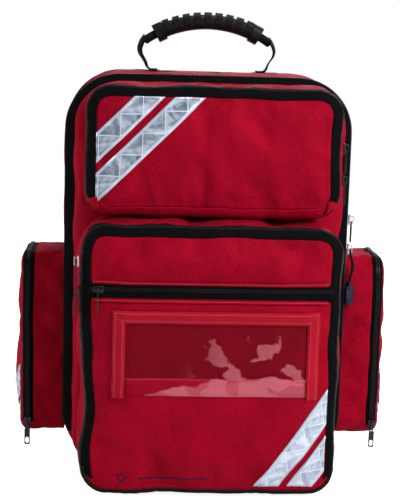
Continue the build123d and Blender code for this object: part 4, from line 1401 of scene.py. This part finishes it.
def make_straps():
    for name, side in (("left", -1), ("right", 1)):
        origin = Vector((side * (58 + 450 * math.sin(STRAP_LEAN)) * MM, 0, 0))
        up = Vector((-side * math.sin(STRAP_LEAN), 0, math.cos(STRAP_LEAN)))
        wide = Vector((math.cos(STRAP_LEAN), 0, side * math.sin(STRAP_LEAN)))

        def lay(line):
            return [origin + Vector((0, y * MM, 0)) + up * z * MM for y, z in line]

        path = rounded_line(lay(STRAP_LINE))
        strap = ribbon(f"shoulder_strap_{name}", path, (wide, wide), padded_section(66 * MM, 12 * MM), "mesh")
        subdivide(strap)
        for vertex in strap.data.vertices:
            vertex.co += noise.noise_vector(vertex.co / 0.05) * 1.0 * MM
        settle(strap, "pack_body", "black_mesh", "shoulder_straps")
        line, _ = resampled(path, 5 * MM)
        outs = [wide.cross(heading(line, k)) for k in range(len(line))]
        facing = 1 if sum(out.y for out in outs) > 0 else -1
        for edge in (-1, 1):
            rim = [p + wide * edge * 33 * MM for p in line]
            binding(f"strap_binding_{name}_{'ab'[edge > 0]}", rim, 1.9 * MM, "pack_body")
        face = [p + out * facing * 6.8 * MM for p, out in zip(line, outs)]
        section = flat_section(25 * MM, 1.4 * MM)
        band = ribbon(f"strap_face_webbing_{name}", face, (wide, wide), section, "webbing")
        settle(band, "pack_body", "black_webbing")
        rows = []
        for shift in (-10.5 * MM, 10.5 * MM):
            seam = [(p + wide * shift + out * facing * 0.8 * MM, out * facing) for p, out in zip(face, outs)]
            rows.append(stitches("strap_stitch", seam, "thread_grey"))
        settle(join(f"strap_stitches_{name}", rows), "pack_body", "black_webbing")
        webbing = ribbon(f"strap_webbing_{name}", rounded_line(lay(WEBBING_LINE)), (wide, wide),
                         flat_section(25 * MM, 2.0 * MM), "webbing")
        settle(webbing, "pack_body", "black_webbing", "strap_webbing")
    line = [Vector((x * MM, y * MM, 458 * MM)) for x, y in ((-38, 125.4), (0, 126.2), (38, 125.4))]
    upright = Vector((0, 0, 1))
    haul = ribbon("haul_tab", line, (upright, upright), flat_section(30 * MM, 2.4 * MM), "webbing")
    settle(haul, "pack_body", "black_webbing")


ANCHOR_LINE = [(58, 0.9), (64, 1.6), (76, 1.9), (88, 1.6), (94, 0.9)]
ANCHOR_SEAM = [(61, -11.5), (91, -11.5), (91, 11.5), (61, 11.5), (61, -11.5), (91, 11.5), (91, -11.5),
               (61, 11.5)]        # a box and its cross


def make_handle_soft():
    """The webbing legs of the handle, their sewn ends, and the padded core."""
    core_low, core_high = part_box("handle_core")
    anchor_low, anchor_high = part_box("handle_anchors")
    middle_y = (anchor_low[1] + anchor_high[1]) / 2
    for name, side in (("left", -1), ("right", 1)):
        foot = Vector((side * 76.0 * MM, middle_y, anchor_high[2] + 1.0 * MM))
        top = Vector((side * 85 * MM, middle_y, core_low[2] + 3 * MM))
        line = rounded_line([
            foot + Vector((-side * 12 * MM, 0, 0.2 * MM)), foot,
            foot + Vector((side * 3 * MM, 1 * MM, 10 * MM)),
            top + Vector((side * 3 * MM, 0, -12 * MM)), top, top + Vector((-side * 6 * MM, 0, 8 * MM)),
        ])
        straight, turned = Vector((0, 1, 0)), Vector((side * 0.30, 1, 0)).normalized()
        section = flat_section(24 * MM, 2.0 * MM)
        leg = ribbon(f"handle_leg_{name}", line, (straight, turned), section, "webbing", 3 * MM)
        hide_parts("handle_legs")
        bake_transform(leg)
        line = [Vector((side * x * MM, middle_y, anchor_low[2] + z * MM)) for x, z in ANCHOR_LINE]
        anchor = ribbon(f"handle_anchor_{name}", line, (straight, straight), flat_section(30 * MM, 1.8 * MM),
                        "webbing", 3 * MM)
        settle(anchor, "pack_body", "black_webbing", "handle_anchors")
        seams = []
        height = anchor_low[2] + 2.9 * MM
        points = [Vector((side * x * MM, middle_y + y * MM, height)) for x, y in ANCHOR_SEAM]
        for first, second in zip(points, points[1:]):
            seam = [(first.lerp(second, k / 6), Vector((0, 0, 1))) for k in range(7)]
            seams.append(stitches("anchor_stitch", seam, "thread_grey", 3.2 * MM))
        settle(join(f"anchor_stitches_{name}", seams), "pack_body", "black_webbing")
        centre = Vector((0, middle_y, 420 * MM))
        arc = []
        for k in range(7):
            angle = side * math.radians(27.0 + 8.5 * k / 6)
            arc.append(centre + Vector((math.sin(angle), 0, math.cos(angle))) * 140 * MM)
        ring = []
        for k in range(16):
            angle = 2 * math.pi * k / 16
            ring.append((11 * MM * math.copysign(abs(math.cos(angle)) ** 0.7, math.cos(angle)),
                         5.5 * MM * math.copysign(abs(math.sin(angle)) ** 0.8, math.sin(angle))))
        core = ribbon(f"handle_core_{name}", arc, (straight, straight), ring, "webbing_cad", 2 * MM)
        bevel = core.modifiers.new("soften", "BEVEL")
        bevel.width = 2 * MM
        bevel.segments = 3
        bevel.limit_method = "ANGLE"
        bevel.angle_limit = math.radians(60)
        apply_modifiers(core)
        settle(core, "carry_handle", "black_webbing", "handle_core")


def fold(name, pieces, first, second, start, end):
    """Cloth at a hinge: the strips of one or two cases, joined, welded when there are two, and given
    thickness; first and second are not used.
    """
    strip = join(name, pieces) if len(pieces) > 1 else pieces[0]
    strip.name = name
    if len(pieces) > 1:
        weld = strip.modifiers.new("weld", "WELD")
        weld.merge_threshold = 0.6 * MM
        apply_modifiers(strip)
    thicken(strip, 1.6 * MM, -1.0)
    apply_modifiers(strip)
    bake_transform(strip)
    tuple(start)
    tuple(end)


def make_folds(cases):
    halves = [cases["rear"].cut(FOLD, "lid_fold", ["red"]), cases["lid"].cut(FOLD, "lid_fold_front", ["red"])]
    fold("lid_fold", halves, "pack_body", "main_lid", (0, SPLIT_Y + TAPE, 0), (0, SPLIT_Y - 7.3 * MM, 0))
    for name in ("upper", "lower"):
        case = cases[name]
        front = LID_Y - case.depth
        fold(f"{name}_fold", [case.cut(FOLD, f"{name}_fold", ["red"])], "main_lid", f"{name}_door",
             (0, front + POCKET_RIM, case.base), (0, front + POCKET_FLAP, case.base))
    for name, side in (("side_left", -1), ("side_right", 1)):
        case = cases[name]
        face = SHELL_X + case.depth
        start, end = ((side * (face - behind), SIDE_Y, case.base) for behind in (SIDE_RIM, SIDE_FLAP))
        strip = case.cut(FOLD, f"{name}_fold", ["red"])
        fold(f"{name}_fold", [strip], "pack_body", POCKETS[name][0], start, end)


def bottom_piping(case, name, body):
    """The black binding along the low front edge, between the zip's two ends."""
    path = case.level_path(len(case.loops) - 3, high=case.base + case.radius + 9 * MM)
    binding(f"{name}_piping", [place + normal * 0.5 * MM for place, normal in path], 2.7 * MM, body)


def zip_end_tab(case, name, side):
    """The stitched red tab over one end of the upper zip."""
    across = side * (case.width / 2 - 8 * MM)
    end = case.base + case.zip_end
    ends = ((across - side * 4 * MM, end - 12 * MM), (across, end + 5 * MM))
    tab = panel_strip(f"upper_zip_tab_{name}", case, ends, 12 * MM, 1.4 * MM, "red", 4, 1.2 * MM)
    settle(tab, "upper_door", "red_fabric")


def cad_looks():
    """Better materials on the CAD nodes that stay."""
    looks = {"handle_grip": "rubber", "frame_sheet": "sheet", "ladder_locks": "buckle"}
    for node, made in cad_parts.items():
        look = looks.get(node)
        if node.startswith("slider_"):
            look = "metal" if node in ("slider_lower_1", "slider_main_1", "slider_main_2") else "gunmetal"
        if node.startswith("pull_"):
            look = "gunmetal"
        if look:
            for slot in made.material_slots:
                slot.material = MATERIALS[look]


def make_floor():
    look = new_look("floor_paper")
    tone = look.grain(look.on_object(), 3)
    MATERIALS["floor"] = look.finish({
        "Base Color": look.mix(tone, (0.88, 0.88, 0.89), (0.93, 0.93, 0.93)),
        "Roughness": 0.8,
        "Emission Color": (1, 1, 1),
        "Emission Strength": look.maths("MULTIPLY", look.camera_ray(), FLOOR_SEEN),
    })
    size = 6.0
    corners = [(-size, -size, 0), (size, -size, 0), (size, size, 0), (-size, size, 0)]
    floor = mesh_object("floor", corners, [(0, 1, 2, 3)], ["floor"])
    floor.location.z = -0.2 * MM
    floor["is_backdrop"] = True


aim_camera()
make_cord()
light_studio()
cases = make_cases()
settle_cases(cases)
blocks = make_blocks()
settle_blocks(blocks)
make_shell(cases)
for name in POCKETS:
    make_pocket(cases[name], name)
for name, corner, slope, distances, insets, look in (
    ("upper", (-1, 1), 45, (60, 93), (12, 12), "reflective"),
    # The lower pocket's tapes take the brighter copy of the tape: painted reflection.
    ("lower", (1, -1), 55, (40, 73), (12, 11), "reflective_bright"),
    ("side_left", (1, -1), 45, (24, 57), (9, 9), "reflective"),
    ("side_right", (-1, -1), 45, (24, 57), (9, 9), "reflective"),
):
    tapes = [
        corner_tape(f"{name}_tape_{k}", cases[name], corner, slope, away * MM, POCKETS[name][0],
                    *(inset * MM for inset in insets), look)
        for k, away in enumerate(distances)
    ]
    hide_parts(POCKETS[name][-1])
pocket_back(cases["upper"], "upper_pocket_back", "main_lid")
pocket_back(cases["lower"], "lower_pocket_back", "main_lid")
make_folds(cases)
make_back(blocks)
make_insides(blocks)
make_straps()
make_handle_soft()
bottom_piping(cases["lower"], "lower", "lower_door")
zip_end_tab(cases["upper"], "left", -1)
zip_end_tab(cases["upper"], "right", 1)
front_pocket_zip(cases["lower"])
label_window(cases["lower"])
printed_marks(cases["lower"])
for case in [*cases.values(), *blocks.values()]:
    bpy.data.objects.remove(case.piece)
cad_looks()
make_floor()

visual_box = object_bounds()
boxes = {"cad": CAD_BOX, "visual": visual_box}
{name: [list(corner) for corner in box] for name, box in boxes.items()}
